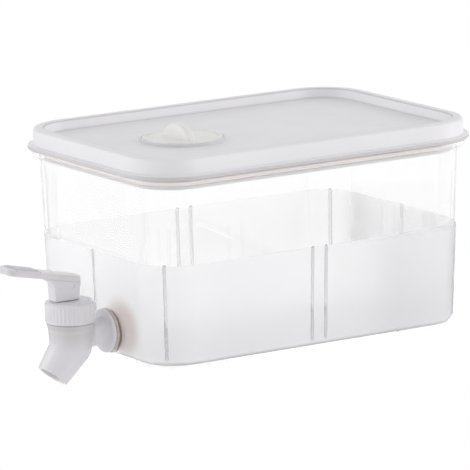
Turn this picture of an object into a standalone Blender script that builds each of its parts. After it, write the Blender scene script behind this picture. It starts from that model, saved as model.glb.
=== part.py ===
"""Fridge water jug: a clear tub, a white lid with a filling cap, and a lever tap low on one end wall.

Metres, +Z up. The origin is the middle of the tub's flat underside, and the tap points towards -X.
The tap's valve opens when the lever is pressed: its heel rolls on the bonnet and lifts the stem.
"""

import math

import bmesh
import bpy
from mathutils import Matrix, Vector

# Fits and cuts
SEAT_GAP = 0.0003
FIT_GAP = 0.0002
OVERRUN = 0.002

# Tub: outside sizes are measured just under the rim bead, and the walls lean in below it
TUB_LENGTH = 0.226
TUB_WIDTH = 0.152
TUB_CORNER_RADIUS = 0.028
TUB_HEIGHT = 0.1122
TUB_WALL = 0.0022
TUB_FLOOR = 0.0022
TUB_BOTTOM_ROUND = 0.005
WALL_LEAN_SHARE = 0.039
RIM_BEAD_REACH = 0.0044
RIM_BEAD_HEIGHT = 0.0037
RIM_BEAD_EDGE = 0.0007
FROST_LINE_HEIGHT = 0.0605
FROST_STEP = 0.00025
RIB_RADIUS = 0.00125
RIB_RISE = 0.001
RIB_PROUD_SHARE = 0.55
RIB_PAIR_SPACING = 0.0096
FOOT_HEIGHT = 0.0035
FOOT_WIDTH = 0.006
FOOT_INSET = 0.0024
FOOT_LEG_X = 0.045
FOOT_LEG_Y = 0.034
FOOT_SINK = 0.0014

# Lid
FLANGE_OVERHANG = 0.0026
FLANGE_THICKNESS = 0.0028
FLANGE_EDGE = 0.0006
LID_THICKNESS = 0.0022
LID_RISE = 0.0125
LID_SKIRT_INSET = 0.0034
LID_RIM_ROUND = 0.002
LID_RIM_LAND = 0.0046
PANEL_DROP = 0.0058
PANEL_SLOPE = 0.0023
PLUG_DEPTH = 0.0072
PLUG_THICKNESS = 0.0024
PLUG_CLEARANCE = 0.0005
SEAL_HEIGHT = 0.0024
SEAL_DEPTH = 0.0011

# Filling cap
CAP_X = -0.047
CAP_RADIUS = 0.0242
CAP_RIM_HEIGHT = 0.0021
CAP_RIM_WIDTH = 0.0018
CAP_THICKNESS = 0.0016
CAP_SKIRT_DEPTH = 0.0085
CAP_SKIRT_THICKNESS = 0.0022
CAP_LEDGE = 0.0027
CAP_COLLAR_WIDTH = 0.0015
CAP_COLLAR_HEIGHT = 0.0028
CAP_SEAL_WIRE = 0.0005
FIN_LENGTH = 0.030
FIN_HEIGHT = 0.0098
FIN_THICKNESS = 0.0064
FIN_ROUND = 0.0014

# Tap: where it stands, and its outside
TAP_OFFSET = -0.014
TAP_REACH = 0.0261
INLET_HEIGHT = 0.0145
BOSS_RADIUS = 0.0136
BOSS_PROUD = 0.0010
BOSS_THICKNESS = 0.0027
SHANK_RADIUS = 0.0078
SHANK_LENGTH = 0.0158
SHOULDER_RADIUS = 0.0131
SHOULDER_THICKNESS = 0.0020
INLET_RADIUS = 0.0083
INLET_BORE_RADIUS = 0.0042
GASKET_THICKNESS = 0.0015
NUT_RADIUS = 0.0114
NUT_LENGTH = 0.0070
NUT_FLANGE = 0.0016
BARREL_TOP_RADIUS = 0.0132
BARREL_LOW_RADIUS = 0.0125
BARREL_TOP_RISE = 0.0047
ELBOW_DROP = 0.0061
FUNNEL_HEIGHT = 0.0039
SPOUT_TILT = math.radians(39)
SPOUT_LENGTH = 0.0209
SPOUT_RADIUS = 0.0097
SPOUT_WALL = 0.0016
SPOUT_THROAT_RADIUS = 0.0058
SPOUT_THROAT_BACK = 0.0076

# Tap: collar nut and valve
COLLAR_RADIUS = 0.0150
COLLAR_HEIGHT = 0.0126
COLLAR_TOP = 0.0020
COLLAR_CHAMFER = 0.0014
COLLAR_LOW_EDGE = 0.0006
COLLAR_FLUTES = 36
FLUTE_DEPTH = 0.00035
THREAD_RADIUS = 0.0123
CHAMBER_RADIUS = 0.0096
CHAMBER_FLOOR_DROP = 0.0045
SEAT_LIP_HEIGHT = 0.0010
SEAT_LIP_WIDTH = 0.0013
SEAT_HOLE_RADIUS = 0.0036
SEAT_HOLE_DEPTH = 0.0075
BONNET_FLANGE = 0.0018
BONNET_PLUG_DEPTH = 0.0055
BONNET_PLUG_WALL = 0.0029
BONNET_CAP = 0.0063
BONNET_BOSS_RADIUS = 0.0110
BONNET_GASKET = 0.0008
STEM_RADIUS = 0.0024
STEM_BUTTON_RADIUS = 0.0034
STEM_BUTTON_HEIGHT = 0.0014
STEM_SHOULDER_RADIUS = 0.0054
STEM_SHOULDER_HEIGHT = 0.0012
STEM_SHOULDER_RISE = 0.0038
STEM_TAB_THICKNESS = 0.0030
STEM_SEAL_WIRE = 0.00075
CUP_RADIUS = 0.0062
CUP_HEIGHT = 0.0058
CUP_FLOOR = 0.0013
CUP_WALL = 0.0009
SPRING_WIRE = 0.00035
SPRING_RADIUS = 0.0044
SPRING_TURNS = 5
SPRING_POINTS = 10

# Lever: lengths run from its pin, and the heel's contact point stays ahead of the pin by the cam offset
PIN_RISE = 0.0085
PIN_RADIUS = 0.00125
CAM_OFFSET = 0.0090
LEVER_PRESS = math.radians(18)
NECK_WIDTH = 0.0075
NECK_REAR = 0.0051
NECK_FILLET = 0.0055
NECK_REAR_FILLET = 0.0009
NECK_FLARE = 0.0030
SLOT_REAR = 0.0028
SLOT_TOP = 0.0029
PADDLE_TILT = math.radians(10.5)
PADDLE_RISE = 0.0073
PADDLE_THICKNESS = 0.0039
PADDLE_REAR = 0.0057
PADDLE_REACH = 0.0460
PADDLE_REAR_WIDTH = 0.0140
PADDLE_TIP_WIDTH = 0.0180
PADDLE_REAR_CORNER = 0.0015
PADDLE_TIP_CORNER = 0.0072
PADDLE_EDGE = 0.0008
GRIP_RIDGES = 9
GRIP_PITCH = 0.0020
GRIP_HEIGHT = 0.0009
GRIP_RIDGE_SHARE = 0.55
GRIP_TIP_INSET = 0.0048
GRIP_SIDE_INSET = 0.0012

# Fineness of curved forms
CORNER_STEPS = 7
ROUND_STEPS = 4
TURN_STEPS = 40
SMALL_TURN_STEPS = 24
FLUTE_POINTS = 3

# Places that follow from the sizes
BEAD_UNDERSIDE = TUB_HEIGHT - RIM_BEAD_HEIGHT
FLANGE_HALF_LENGTH = TUB_LENGTH / 2 + RIM_BEAD_REACH + FLANGE_OVERHANG
FLANGE_HALF_WIDTH = TUB_WIDTH / 2 + RIM_BEAD_REACH + FLANGE_OVERHANG
FLANGE_CORNER_RADIUS = TUB_CORNER_RADIUS + RIM_BEAD_REACH + FLANGE_OVERHANG
FLANGE_UNDERSIDE = TUB_HEIGHT + SEAT_GAP
LID_TOP = FLANGE_UNDERSIDE + LID_RISE
PANEL_TOP = LID_TOP - PANEL_DROP
PANEL_UNDERSIDE = PANEL_TOP - LID_THICKNESS
CAP_COLLAR_TOP = PANEL_TOP + CAP_COLLAR_HEIGHT
CAP_SEAT = CAP_COLLAR_TOP - CAP_RIM_HEIGHT - SEAT_GAP
CAP_BOTTOM = CAP_SEAT + SEAT_GAP
CAP_HOLE_RADIUS = CAP_RADIUS + SEAT_GAP - CAP_LEDGE
CAP_SKIRT_RADIUS = CAP_HOLE_RADIUS - SEAT_GAP

LID_SLOPE_INSET = LID_SKIRT_INSET + LID_RIM_ROUND + LID_RIM_LAND

BARREL_TOP = INLET_HEIGHT + BARREL_TOP_RISE
ELBOW_HEIGHT = INLET_HEIGHT - ELBOW_DROP
THREAD_FOOT = BARREL_TOP + FUNNEL_HEIGHT
COLLAR_FOOT = THREAD_FOOT + SEAT_GAP
COLLAR_CROWN = COLLAR_FOOT + COLLAR_HEIGHT
COLLAR_LIP = COLLAR_CROWN - COLLAR_TOP
FLANGE_CROWN = COLLAR_LIP - SEAT_GAP
FLANGE_FOOT = FLANGE_CROWN - BONNET_FLANGE
THREAD_CROWN = FLANGE_FOOT - SEAT_GAP * 2 - BONNET_GASKET
BONNET_CROWN = COLLAR_CROWN + SEAT_GAP
POCKET_CEILING = BONNET_CROWN - BONNET_CAP
CHAMBER_FLOOR = INLET_HEIGHT - CHAMBER_FLOOR_DROP
SEAT_LIP = CHAMBER_FLOOR + SEAT_LIP_HEIGHT
CUP_BOTTOM = SEAT_LIP + SEAT_GAP
STEM_BOTTOM = CUP_BOTTOM + CUP_FLOOR + SEAT_GAP
SHOULDER_FOOT = STEM_BOTTOM + STEM_BUTTON_HEIGHT + STEM_SHOULDER_RISE
SHOULDER_CROWN = SHOULDER_FOOT + STEM_SHOULDER_HEIGHT
PIN_HEIGHT = BONNET_CROWN + PIN_RISE
STEM_LIFT = CAM_OFFSET * LEVER_PRESS
PRESSED_CHEEK_DEPTH = (PIN_RISE - SEAT_GAP) / math.cos(LEVER_PRESS) + STEM_RADIUS * math.tan(LEVER_PRESS)
STEM_TAB_FOOT = PIN_HEIGHT - PRESSED_CHEEK_DEPTH - SEAT_GAP


def wall_inset(height):
    """Distance from the lid's edge in to the tub's outer wall at a height."""
    return RIM_BEAD_REACH + FLANGE_OVERHANG + WALL_LEAN_SHARE * (BEAD_UNDERSIDE - height)


BOSS_FACE_X = wall_inset(INLET_HEIGHT) - FLANGE_HALF_LENGTH - BOSS_PROUD
SPOTFACE_X = BOSS_FACE_X + BOSS_THICKNESS
SHOULDER_BACK_X = BOSS_FACE_X - GASKET_THICKNESS - FIT_GAP * 2
TAP_X = BOSS_FACE_X - TAP_REACH
INNER_GASKET_X = SPOTFACE_X + FIT_GAP
NUT_X = INNER_GASKET_X + GASKET_THICKNESS + FIT_GAP
TAP_AXIS = Vector((TAP_X, TAP_OFFSET, 0))
INLET_AXIS = Vector((0, TAP_OFFSET, INLET_HEIGHT))


def clear_scene():
    """Empties the file that the script starts in."""
    for obj in list(bpy.data.objects):
        bpy.data.objects.remove(obj, do_unlink=True)
    for collection in list(bpy.data.collections):
        bpy.data.collections.remove(collection)


def make_collection(name):
    """A collection under the scene's own."""
    collection = bpy.data.collections.new(name)
    bpy.context.scene.collection.children.link(collection)
    return collection


clear_scene()
PARTS = make_collection("Fridge_Water_Jug")
CUTTERS = make_collection("Cutters")


def make_material(name, colour, roughness, metallic=0.0, alpha=1.0):
    """A plain Principled material."""
    material = bpy.data.materials.new(name)
    material.use_nodes = True
    shader = material.node_tree.nodes["Principled BSDF"]
    shader.inputs["Base Color"].default_value = (*colour, 1)
    shader.inputs["Roughness"].default_value = roughness
    shader.inputs["Metallic"].default_value = metallic
    shader.inputs["Alpha"].default_value = alpha
    return material


CLEAR = make_material("Clear plastic", (0.90, 0.90, 0.92), 0.12, alpha=0.35)
WHITE = make_material("White lid plastic", (0.86, 0.85, 0.88), 0.35)
CAP_WHITE = make_material("Cap plastic", (0.90, 0.88, 0.84), 0.35)
GREY = make_material("Grey tap plastic", (0.50, 0.49, 0.53), 0.32)
SILICONE = make_material("Silicone rubber", (0.80, 0.80, 0.78), 0.55)
STEEL = make_material("Spring steel", (0.62, 0.62, 0.62), 0.30, metallic=1.0)


def new_object(name, mesh, material, at=(0, 0, 0), turn=None):
    """Puts a mesh in the scene as a part, or as a cutter where there is no material."""
    obj = bpy.data.objects.new(name, mesh)
    obj.matrix_world = Matrix.Translation(at) @ (turn or Matrix())
    if material is None:
        CUTTERS.objects.link(obj)
        obj.hide_render = True
        obj.display_type = "WIRE"
    else:
        PARTS.objects.link(obj)
        mesh.materials.append(material)
    return obj


def mesh_from(bm, name, sharp_angle=math.radians(32)):
    """Turns a bmesh into a mesh with outward faces and smooth shading across its curves."""
    bmesh.ops.recalc_face_normals(bm, faces=bm.faces)
    mesh = bpy.data.meshes.new(name)
    bm.to_mesh(mesh)
    bm.free()
    mesh.shade_smooth()
    mesh.set_sharp_from_angle(angle=sharp_angle)
    return mesh


def loft(rings, closed=False):
    """A skin through rings of equally many points, capped at both ends or joined end to start."""
    bm = bmesh.new()
    rows = [[bm.verts.new(point) for point in ring] for ring in rings]
    following = rows[1:] + rows[:1] if closed else rows[1:]
    for row, above in zip(rows, following):
        for i, vert in enumerate(row):
            after = (i + 1) % len(row)
            bm.faces.new((vert, row[after], above[after], above[i]))
    if not closed:
        bm.faces.new(reversed(rows[0]))
        bm.faces.new(rows[-1])
    return bm


def turned(name, profile, material=None, at=(0, 0, 0), turn=None, steps=TURN_STEPS, ring=False):
    """Turns (radius, height) points about Z. They run down the outer side, and a ring's profile closes."""
    mesh = bpy.data.meshes.new(name)
    count = len(profile)
    edges = [(i, i + 1) for i in range(count - 1)] + ([(count - 1, 0)] if ring else [])
    mesh.from_pydata([(radius, 0, height) for radius, height in profile], edges, [])
    obj = new_object(name, mesh, material, at, turn)
    screw = obj.modifiers.new("Turn", "SCREW")
    screw.steps = steps
    screw.render_steps = steps
    screw.use_merge_vertices = True
    screw.merge_threshold = 1e-5
    screw.use_smooth_shade = True
    return obj


def extruded(outline, thickness):
    """A flat outline in X and Z, thickened evenly to both sides of Y = 0."""
    bm = bmesh.new()
    face = bm.faces.new([bm.verts.new((x, -thickness / 2, z)) for x, z in outline])
    grown = bmesh.ops.extrude_face_region(bm, geom=[face])
    moved = [item for item in grown["geom"] if isinstance(item, bmesh.types.BMVert)]
    bmesh.ops.translate(bm, verts=moved, vec=(0, thickness, 0))
    return bm


def box(name, low, high, at=(0, 0, 0), turn=None, material=None):
    """A block between two corners."""
    bm = bmesh.new()
    bmesh.ops.create_cube(bm, size=1)
    centre = (Vector(low) + Vector(high)) / 2
    size = Vector(high) - Vector(low)
    bmesh.ops.transform(bm, verts=bm.verts, matrix=Matrix.Translation(centre) @ Matrix.Diagonal((*size, 1)))
    return new_object(name, mesh_from(bm, name), material, at, turn)


def boolean(obj, other, operation):
    """Adds or cuts another object with the exact solver."""
    modifier = obj.modifiers.new(other.name, "BOOLEAN")
    modifier.operation = operation
    modifier.solver = "EXACT"
    modifier.object = other


def add(obj, *others):
    """Joins the others to an object."""
    for other in others:
        boolean(obj, other, "UNION")


def cut(obj, *others):
    """Cuts the others from an object."""
    for other in others:
        boolean(obj, other, "DIFFERENCE")


def arc(centre, radius, start, end, steps=ROUND_STEPS):
    """Points on a circle in a section plane, angles in degrees from its first axis."""
    angles = [math.radians(start + (end - start) * i / steps) for i in range(steps + 1)]
    return [(centre[0] + radius * math.cos(a), centre[1] + radius * math.sin(a)) for a in angles]


def rectangle_ring(half_length, half_width, radius, height, steps=CORNER_STEPS):
    """A rectangle with round corners at a height, anticlockwise from +X."""
    points = []
    for quarter, (side_x, side_y) in enumerate(((1, 1), (-1, 1), (-1, -1), (1, -1))):
        centre = (side_x * (half_length - radius), side_y * (half_width - radius))
        start = quarter * 90
        points += [Vector((x, y, height)) for x, y in arc(centre, radius, start, start + 90, steps)]
    return points


def jug_ring(inset, height):
    """The jug's plan outline at a distance in from the lid's edge."""
    return rectangle_ring(
        FLANGE_HALF_LENGTH - inset,
        FLANGE_HALF_WIDTH - inset,
        FLANGE_CORNER_RADIUS - inset,
        height,
    )


def soften(bm, geom, offset, segments, affect="EDGES"):
    """Rounds edges or corners."""
    bmesh.ops.bevel(bm, geom=geom, offset=offset, segments=segments, profile=0.5, affect=affect)


ALONG_X = Matrix.Rotation(math.radians(90), 4, "Y")


def tub_outside_section():
    """(inset, height) points up the tub's outside, from its underside to the top of its rim bead."""
    low = wall_inset(TUB_BOTTOM_ROUND) - FROST_STEP
    bend = arc((low + TUB_BOTTOM_ROUND, TUB_BOTTOM_ROUND), TUB_BOTTOM_ROUND, 270, 180)
    bead = FLANGE_OVERHANG
    return bend + [
        (wall_inset(FROST_LINE_HEIGHT) - FROST_STEP, FROST_LINE_HEIGHT),
        (wall_inset(FROST_LINE_HEIGHT), FROST_LINE_HEIGHT + FROST_STEP),
        (wall_inset(BEAD_UNDERSIDE), BEAD_UNDERSIDE),
        (bead + RIM_BEAD_EDGE, BEAD_UNDERSIDE),
        (bead, BEAD_UNDERSIDE + RIM_BEAD_EDGE),
        (bead, TUB_HEIGHT - RIM_BEAD_EDGE),
        (bead + RIM_BEAD_EDGE, TUB_HEIGHT),
    ]


def tub_inside_section():
    """(inset, height) points up the tub's cavity, from its floor to past its mouth."""
    bend_radius = TUB_BOTTOM_ROUND - TUB_WALL
    turn_height = TUB_FLOOR + bend_radius
    low = wall_inset(turn_height) + TUB_WALL
    bend = arc((low + bend_radius, turn_height), bend_radius, 270, 180)
    top = TUB_HEIGHT + OVERRUN
    return bend + [(wall_inset(top) + TUB_WALL, top)]


def rib(name, x, y, toward):
    """A clear rib up the frosted wall, round at its top, leaning as the wall does."""
    top_height = FROST_LINE_HEIGHT + RIB_RISE - RIB_RADIUS
    low = Vector((x, y, TUB_BOTTOM_ROUND))
    high = low + toward * WALL_LEAN_SHARE * (top_height - TUB_BOTTOM_ROUND)
    high.z = top_height
    length = (high - low).length
    dome = arc((0, length), RIB_RADIUS, 90, 0, ROUND_STEPS)
    foot = [(RIB_RADIUS, 0), (RIB_RADIUS * RIB_PROUD_SHARE, -RIB_RADIUS), (0, -RIB_RADIUS)]
    turn = Vector((0, 0, 1)).rotation_difference(high - low).to_matrix().to_4x4()
    return turned(name, dome + foot, at=low, turn=turn, steps=SMALL_TURN_STEPS)


def rib_places():
    """(x, y, outward direction) of each rib's axis at the height where the bottom's round ends."""
    sink = FROST_STEP + RIB_RADIUS * (1 - RIB_PROUD_SHARE)
    inset = wall_inset(TUB_BOTTOM_ROUND) + sink
    half_length = FLANGE_HALF_LENGTH - inset
    half_width = FLANGE_HALF_WIDTH - inset
    corner = FLANGE_CORNER_RADIUS - inset
    places = []
    for side in (1, -1):
        places.append((side * half_length, 0, Vector((side, 0, 0))))
        for along in (1, -1):
            places.append((along * RIB_PAIR_SPACING / 2, side * half_width, Vector((0, side, 0))))
            slant = Vector((along, side, 0)).normalized()
            x = along * (half_length - corner) + slant.x * corner
            y = side * (half_width - corner) + slant.y * corner
            places.append((x, y, slant))
    return places


def foot(name, side_x, side_y):
    """One foot: a band bent round a corner of the underside, round at both ends."""
    inset = wall_inset(0) + FOOT_INSET + FOOT_WIDTH / 2
    half_length = FLANGE_HALF_LENGTH - inset
    half_width = FLANGE_HALF_WIDTH - inset
    corner = FLANGE_CORNER_RADIUS - inset
    bend_x = half_length - corner
    bend_y = half_width - corner
    half = FOOT_WIDTH / 2
    end_x = half_length + half - FOOT_LEG_X + half
    end_y = half_width + half - FOOT_LEG_Y + half
    outside = arc((bend_x, bend_y), corner + half, 90, 0)
    inside = arc((bend_x, bend_y), corner - half, 0, 90)
    leg_y_end = arc((half_length, end_y), half, 0, -180)
    leg_x_end = arc((end_x, half_width), half, 270, 90)
    outline = outside + leg_y_end + inside + leg_x_end
    bm = bmesh.new()
    points = [bm.verts.new((side_x * x, side_y * y, -FOOT_HEIGHT)) for x, y in outline]
    face = bm.faces.new(points)
    grown = bmesh.ops.extrude_face_region(bm, geom=[face])
    moved = [item for item in grown["geom"] if isinstance(item, bmesh.types.BMVert)]
    bmesh.ops.translate(bm, verts=moved, vec=(0, 0, FOOT_HEIGHT + FOOT_SINK))
    bmesh.ops.remove_doubles(bm, verts=bm.verts, dist=FIT_GAP / 10)
    return new_object(name, mesh_from(bm, name), None)


def make_tub():
    """The clear tub: leaning walls, rim bead, frosted band, ribs, feet and the boss for the tap."""
    tub = new_object("tub", mesh_from(loft([jug_ring(*p) for p in tub_outside_section()]), "tub"), CLEAR)
    for i, (x, y, toward) in enumerate(rib_places()):
        add(tub, rib(f"rib_{i}", x, y, toward))
    for i, (side_x, side_y) in enumerate(((1, 1), (-1, 1), (-1, -1), (1, -1))):
        add(tub, foot(f"foot_{i}", side_x, side_y))
    boss_length = TUB_BOTTOM_ROUND + BOSS_PROUD
    boss = [(0, boss_length), (BOSS_RADIUS, boss_length), (BOSS_RADIUS, 0), (0, 0)]
    boss_at = INLET_AXIS + Vector((BOSS_FACE_X, 0, 0))
    add(tub, turned("tap_boss", boss, at=boss_at, turn=ALONG_X))
    cavity = mesh_from(loft([jug_ring(*p) for p in tub_inside_section()]), "cavity")
    spotface_radius = NUT_RADIUS + SEAT_GAP
    spotface = [(0, OVERRUN), (spotface_radius, OVERRUN), (spotface_radius, 0), (0, 0)]
    hole_radius = SHANK_RADIUS + SEAT_GAP
    hole = [(0, OVERRUN), (hole_radius, OVERRUN), (hole_radius, -OVERRUN * 2), (0, -OVERRUN * 2)]
    spotface_at = INLET_AXIS + Vector((SPOTFACE_X, 0, 0))
    cut(
        tub,
        new_object("cavity", cavity, None),
        turned("nut_spotface", spotface, at=spotface_at, turn=ALONG_X),
        turned("shank_hole", hole, at=spotface_at, turn=ALONG_X),
    )
    return tub


def seal_heights():
    """The lowest and highest points of the lid's seal."""
    low = FLANGE_UNDERSIDE - PLUG_DEPTH * 0.5 - SEAL_HEIGHT / 2
    return low, low + SEAL_HEIGHT


def plug_inset():
    """How far the lid's plug stands in from the lid's edge."""
    return wall_inset(FLANGE_UNDERSIDE - PLUG_DEPTH) + TUB_WALL + PLUG_CLEARANCE


def lid_section():
    """(inset, height) points of the lid's moulding, from its panel's top round to its panel's underside."""
    rim_outer = LID_SKIRT_INSET + LID_RIM_ROUND
    top_round = arc((rim_outer, LID_TOP - LID_RIM_ROUND), LID_RIM_ROUND, 90, 180)
    slope_round = LID_RIM_ROUND * 0.75
    slope_top = LID_SLOPE_INSET - slope_round
    inner_round = arc((slope_top, LID_TOP - slope_round), slope_round, 0, 90, 3)
    panel_edge = LID_SLOPE_INSET + PANEL_SLOPE
    flange_top = FLANGE_UNDERSIDE + FLANGE_THICKNESS
    skirt_inner = LID_SKIRT_INSET + LID_THICKNESS
    hollow_top = LID_TOP - LID_THICKNESS
    plug = plug_inset()
    bottom = FLANGE_UNDERSIDE - PLUG_DEPTH
    plug_chamfer = SEAL_DEPTH / 2
    seal_low, seal_high = seal_heights()
    groove = plug + SEAL_DEPTH
    return (
        [(panel_edge, PANEL_TOP)]
        + inner_round
        + top_round
        + [
            (LID_SKIRT_INSET, flange_top + FLANGE_EDGE),
            (LID_SKIRT_INSET - FLANGE_EDGE, flange_top),
            (FLANGE_EDGE, flange_top),
            (0, flange_top - FLANGE_EDGE),
            (0, FLANGE_UNDERSIDE + FLANGE_EDGE),
            (FLANGE_EDGE, FLANGE_UNDERSIDE),
            (skirt_inner, FLANGE_UNDERSIDE),
            (skirt_inner, hollow_top - FLANGE_EDGE),
            (skirt_inner + FLANGE_EDGE, hollow_top),
            (slope_top - LID_THICKNESS, hollow_top),
            (plug, PANEL_TOP),
            (plug, seal_high + SEAT_GAP),
            (groove, seal_high + SEAT_GAP),
            (groove, seal_low - SEAT_GAP),
            (plug, seal_low - SEAT_GAP),
            (plug, bottom + plug_chamfer),
            (plug + plug_chamfer, bottom),
            (plug + PLUG_THICKNESS, bottom),
            (plug + PLUG_THICKNESS, PANEL_UNDERSIDE),
        ]
    )


def make_lid():
    """The white lid: a flange, a raised hollow rim, a sunken panel, and a plug that fits the tub's mouth."""
    lid = new_object("lid", mesh_from(loft([jug_ring(*p) for p in lid_section()]), "lid"), WHITE)
    collar_radius = CAP_RADIUS + SEAT_GAP + CAP_COLLAR_WIDTH
    collar_edge = CAP_COLLAR_WIDTH / 4
    collar = [
        (0, CAP_COLLAR_TOP),
        (collar_radius - collar_edge, CAP_COLLAR_TOP),
        (collar_radius, CAP_COLLAR_TOP - collar_edge),
        (collar_radius, PANEL_TOP - LID_THICKNESS / 2),
        (0, PANEL_TOP - LID_THICKNESS / 2),
    ]
    hole = [
        (0, CAP_COLLAR_TOP + OVERRUN),
        (CAP_RADIUS + SEAT_GAP, CAP_COLLAR_TOP + OVERRUN),
        (CAP_RADIUS + SEAT_GAP, CAP_SEAT),
        (CAP_HOLE_RADIUS, CAP_SEAT),
        (CAP_HOLE_RADIUS, PANEL_UNDERSIDE - OVERRUN),
        (0, PANEL_UNDERSIDE - OVERRUN),
    ]
    add(lid, turned("cap_collar", collar, at=(CAP_X, 0, 0)))
    cut(lid, turned("cap_hole", hole, at=(CAP_X, 0, 0)))
    return lid


def make_lid_seal():
    """The soft ring in the groove of the lid's plug, with two lips that face the tub's wall."""
    low, high = seal_heights()
    back = plug_inset() + SEAL_DEPTH - SEAT_GAP
    front = wall_inset(high) + TUB_WALL + SEAT_GAP
    valley = front + SEAL_DEPTH / 4
    middle = (low + high) / 2
    section = [(back, low), (front, low), (valley, middle), (front, high), (back, high)]
    return new_object("lid_seal", mesh_from(loft([jug_ring(*p) for p in section], closed=True), "lid_seal"), SILICONE)


def make_cap():
    """The filling cap: a rimmed disc with a hollow plug below it and a half-moon fin to grip."""
    top = CAP_BOTTOM + CAP_RIM_HEIGHT
    disc_top = CAP_BOTTOM + CAP_THICKNESS
    edge = CAP_RIM_WIDTH / 3
    rim_inner = CAP_RADIUS - CAP_RIM_WIDTH
    skirt_inner = CAP_SKIRT_RADIUS - CAP_SKIRT_THICKNESS
    skirt_bottom = CAP_BOTTOM - CAP_SKIRT_DEPTH
    groove_top, groove_bottom = cap_groove()
    groove_radius = CAP_SKIRT_RADIUS - CAP_SEAL_WIRE * 2 - SEAT_GAP
    profile = [
        (0, disc_top),
        (rim_inner - edge, disc_top),
        (rim_inner, top - edge / 2),
        (rim_inner + edge, top),
        (CAP_RADIUS - edge, top),
        (CAP_RADIUS, top - edge),
        (CAP_RADIUS, CAP_BOTTOM),
        (CAP_SKIRT_RADIUS, CAP_BOTTOM),
        (CAP_SKIRT_RADIUS, groove_top),
        (groove_radius, groove_top),
        (groove_radius, groove_bottom),
        (CAP_SKIRT_RADIUS, groove_bottom),
        (CAP_SKIRT_RADIUS, skirt_bottom + edge),
        (CAP_SKIRT_RADIUS - edge, skirt_bottom),
        (skirt_inner, skirt_bottom),
        (skirt_inner, CAP_BOTTOM),
        (0, CAP_BOTTOM),
    ]
    cap = turned("fill_cap", profile, CAP_WHITE, at=(CAP_X, 0, 0))
    add(cap, fin(disc_top))
    return cap


def cap_groove():
    """Top and bottom heights of the groove for the cap's seal, half way down the lid's hole."""
    middle = (CAP_SEAT + PANEL_UNDERSIDE) / 2
    half = CAP_SEAL_WIRE + SEAT_GAP
    return middle + half, middle - half


def fin(disc_top):
    """The cap's finger fin: a round segment standing across the jug, with soft edges."""
    half = FIN_LENGTH / 2
    radius = (half**2 + FIN_HEIGHT**2) / (2 * FIN_HEIGHT)
    reach = math.degrees(math.asin(half / radius))
    outline = arc((0, FIN_HEIGHT - radius), radius, 90 - reach, 90 + reach, 14)
    foot_drop = CAP_THICKNESS / 2
    bm = extruded([(half, -foot_drop)] + outline + [(-half, -foot_drop)], FIN_THICKNESS)
    rim = [edge for edge in bm.edges if len({round(v.co.y, 6) for v in edge.verts}) == 1]
    soft = [edge for edge in rim if min(v.co.z for v in edge.verts) > -foot_drop / 2]
    soften(bm, soft, FIN_ROUND, 3)
    across = Matrix.Rotation(math.radians(90), 4, "Z")
    return new_object("fin", mesh_from(bm, "fin"), None, at=(CAP_X, 0, disc_top), turn=across)


def ring_seal(name, radius, wire, centre, steps):
    """A soft ring of round section."""
    section = [(radius + x, z) for x, z in arc((0, 0), wire, 90, -270, 8)[:-1]]
    return turned(name, section, SILICONE, at=centre, steps=steps, ring=True)


def make_cap_seal():
    """The cap's seal, in its groove inside the lid's hole."""
    groove_top, groove_bottom = cap_groove()
    radius = CAP_SKIRT_RADIUS - CAP_SEAL_WIRE
    centre = (CAP_X, 0, (groove_top + groove_bottom) / 2)
    return ring_seal("cap_seal", radius, CAP_SEAL_WIRE, centre, TURN_STEPS)


def make_tap_body():
    """The tap's moulding: valve barrel, funnel, thread, inlet pipe, shoulder, shank and spout."""
    bowl = arc((0, ELBOW_HEIGHT), BARREL_LOW_RADIUS, 0, -90, 10)
    profile = [
        (0, THREAD_CROWN),
        (THREAD_RADIUS, THREAD_CROWN),
        (THREAD_RADIUS, THREAD_FOOT),
        (COLLAR_RADIUS - COLLAR_LOW_EDGE, THREAD_FOOT),
        (BARREL_TOP_RADIUS, BARREL_TOP),
    ] + bowl
    body = turned("tap_body", profile, GREY, at=TAP_AXIS)
    add(body, inlet_pipe(), spout("spout_outside", BARREL_LOW_RADIUS, SPOUT_RADIUS, SPOUT_LENGTH, 0))
    chamber = [
        (0, THREAD_CROWN + OVERRUN),
        (CHAMBER_RADIUS, THREAD_CROWN + OVERRUN),
        (CHAMBER_RADIUS, CHAMBER_FLOOR),
        (SEAT_HOLE_RADIUS + SEAT_LIP_WIDTH, CHAMBER_FLOOR),
        (SEAT_HOLE_RADIUS + SEAT_LIP_WIDTH / 2, SEAT_LIP),
        (SEAT_HOLE_RADIUS, SEAT_LIP),
        (SEAT_HOLE_RADIUS, SEAT_LIP - SEAT_HOLE_DEPTH),
        (0, SEAT_LIP - SEAT_HOLE_DEPTH),
    ]
    bore_end = SHOULDER_BACK_X + SHANK_LENGTH - TAP_X + OVERRUN
    bore = [(0, bore_end), (INLET_BORE_RADIUS, bore_end), (INLET_BORE_RADIUS, 0), (0, 0)]
    bore_at = Vector((TAP_X, TAP_OFFSET, INLET_HEIGHT))
    mouth_radius = SPOUT_RADIUS - SPOUT_WALL
    cut(
        body,
        turned("valve_chamber", chamber, at=TAP_AXIS),
        turned("inlet_bore", bore, at=bore_at, turn=ALONG_X, steps=SMALL_TURN_STEPS),
        spout("spout_bore", SPOUT_THROAT_RADIUS, mouth_radius, SPOUT_LENGTH + OVERRUN, SPOUT_THROAT_BACK),
    )
    return body


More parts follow.
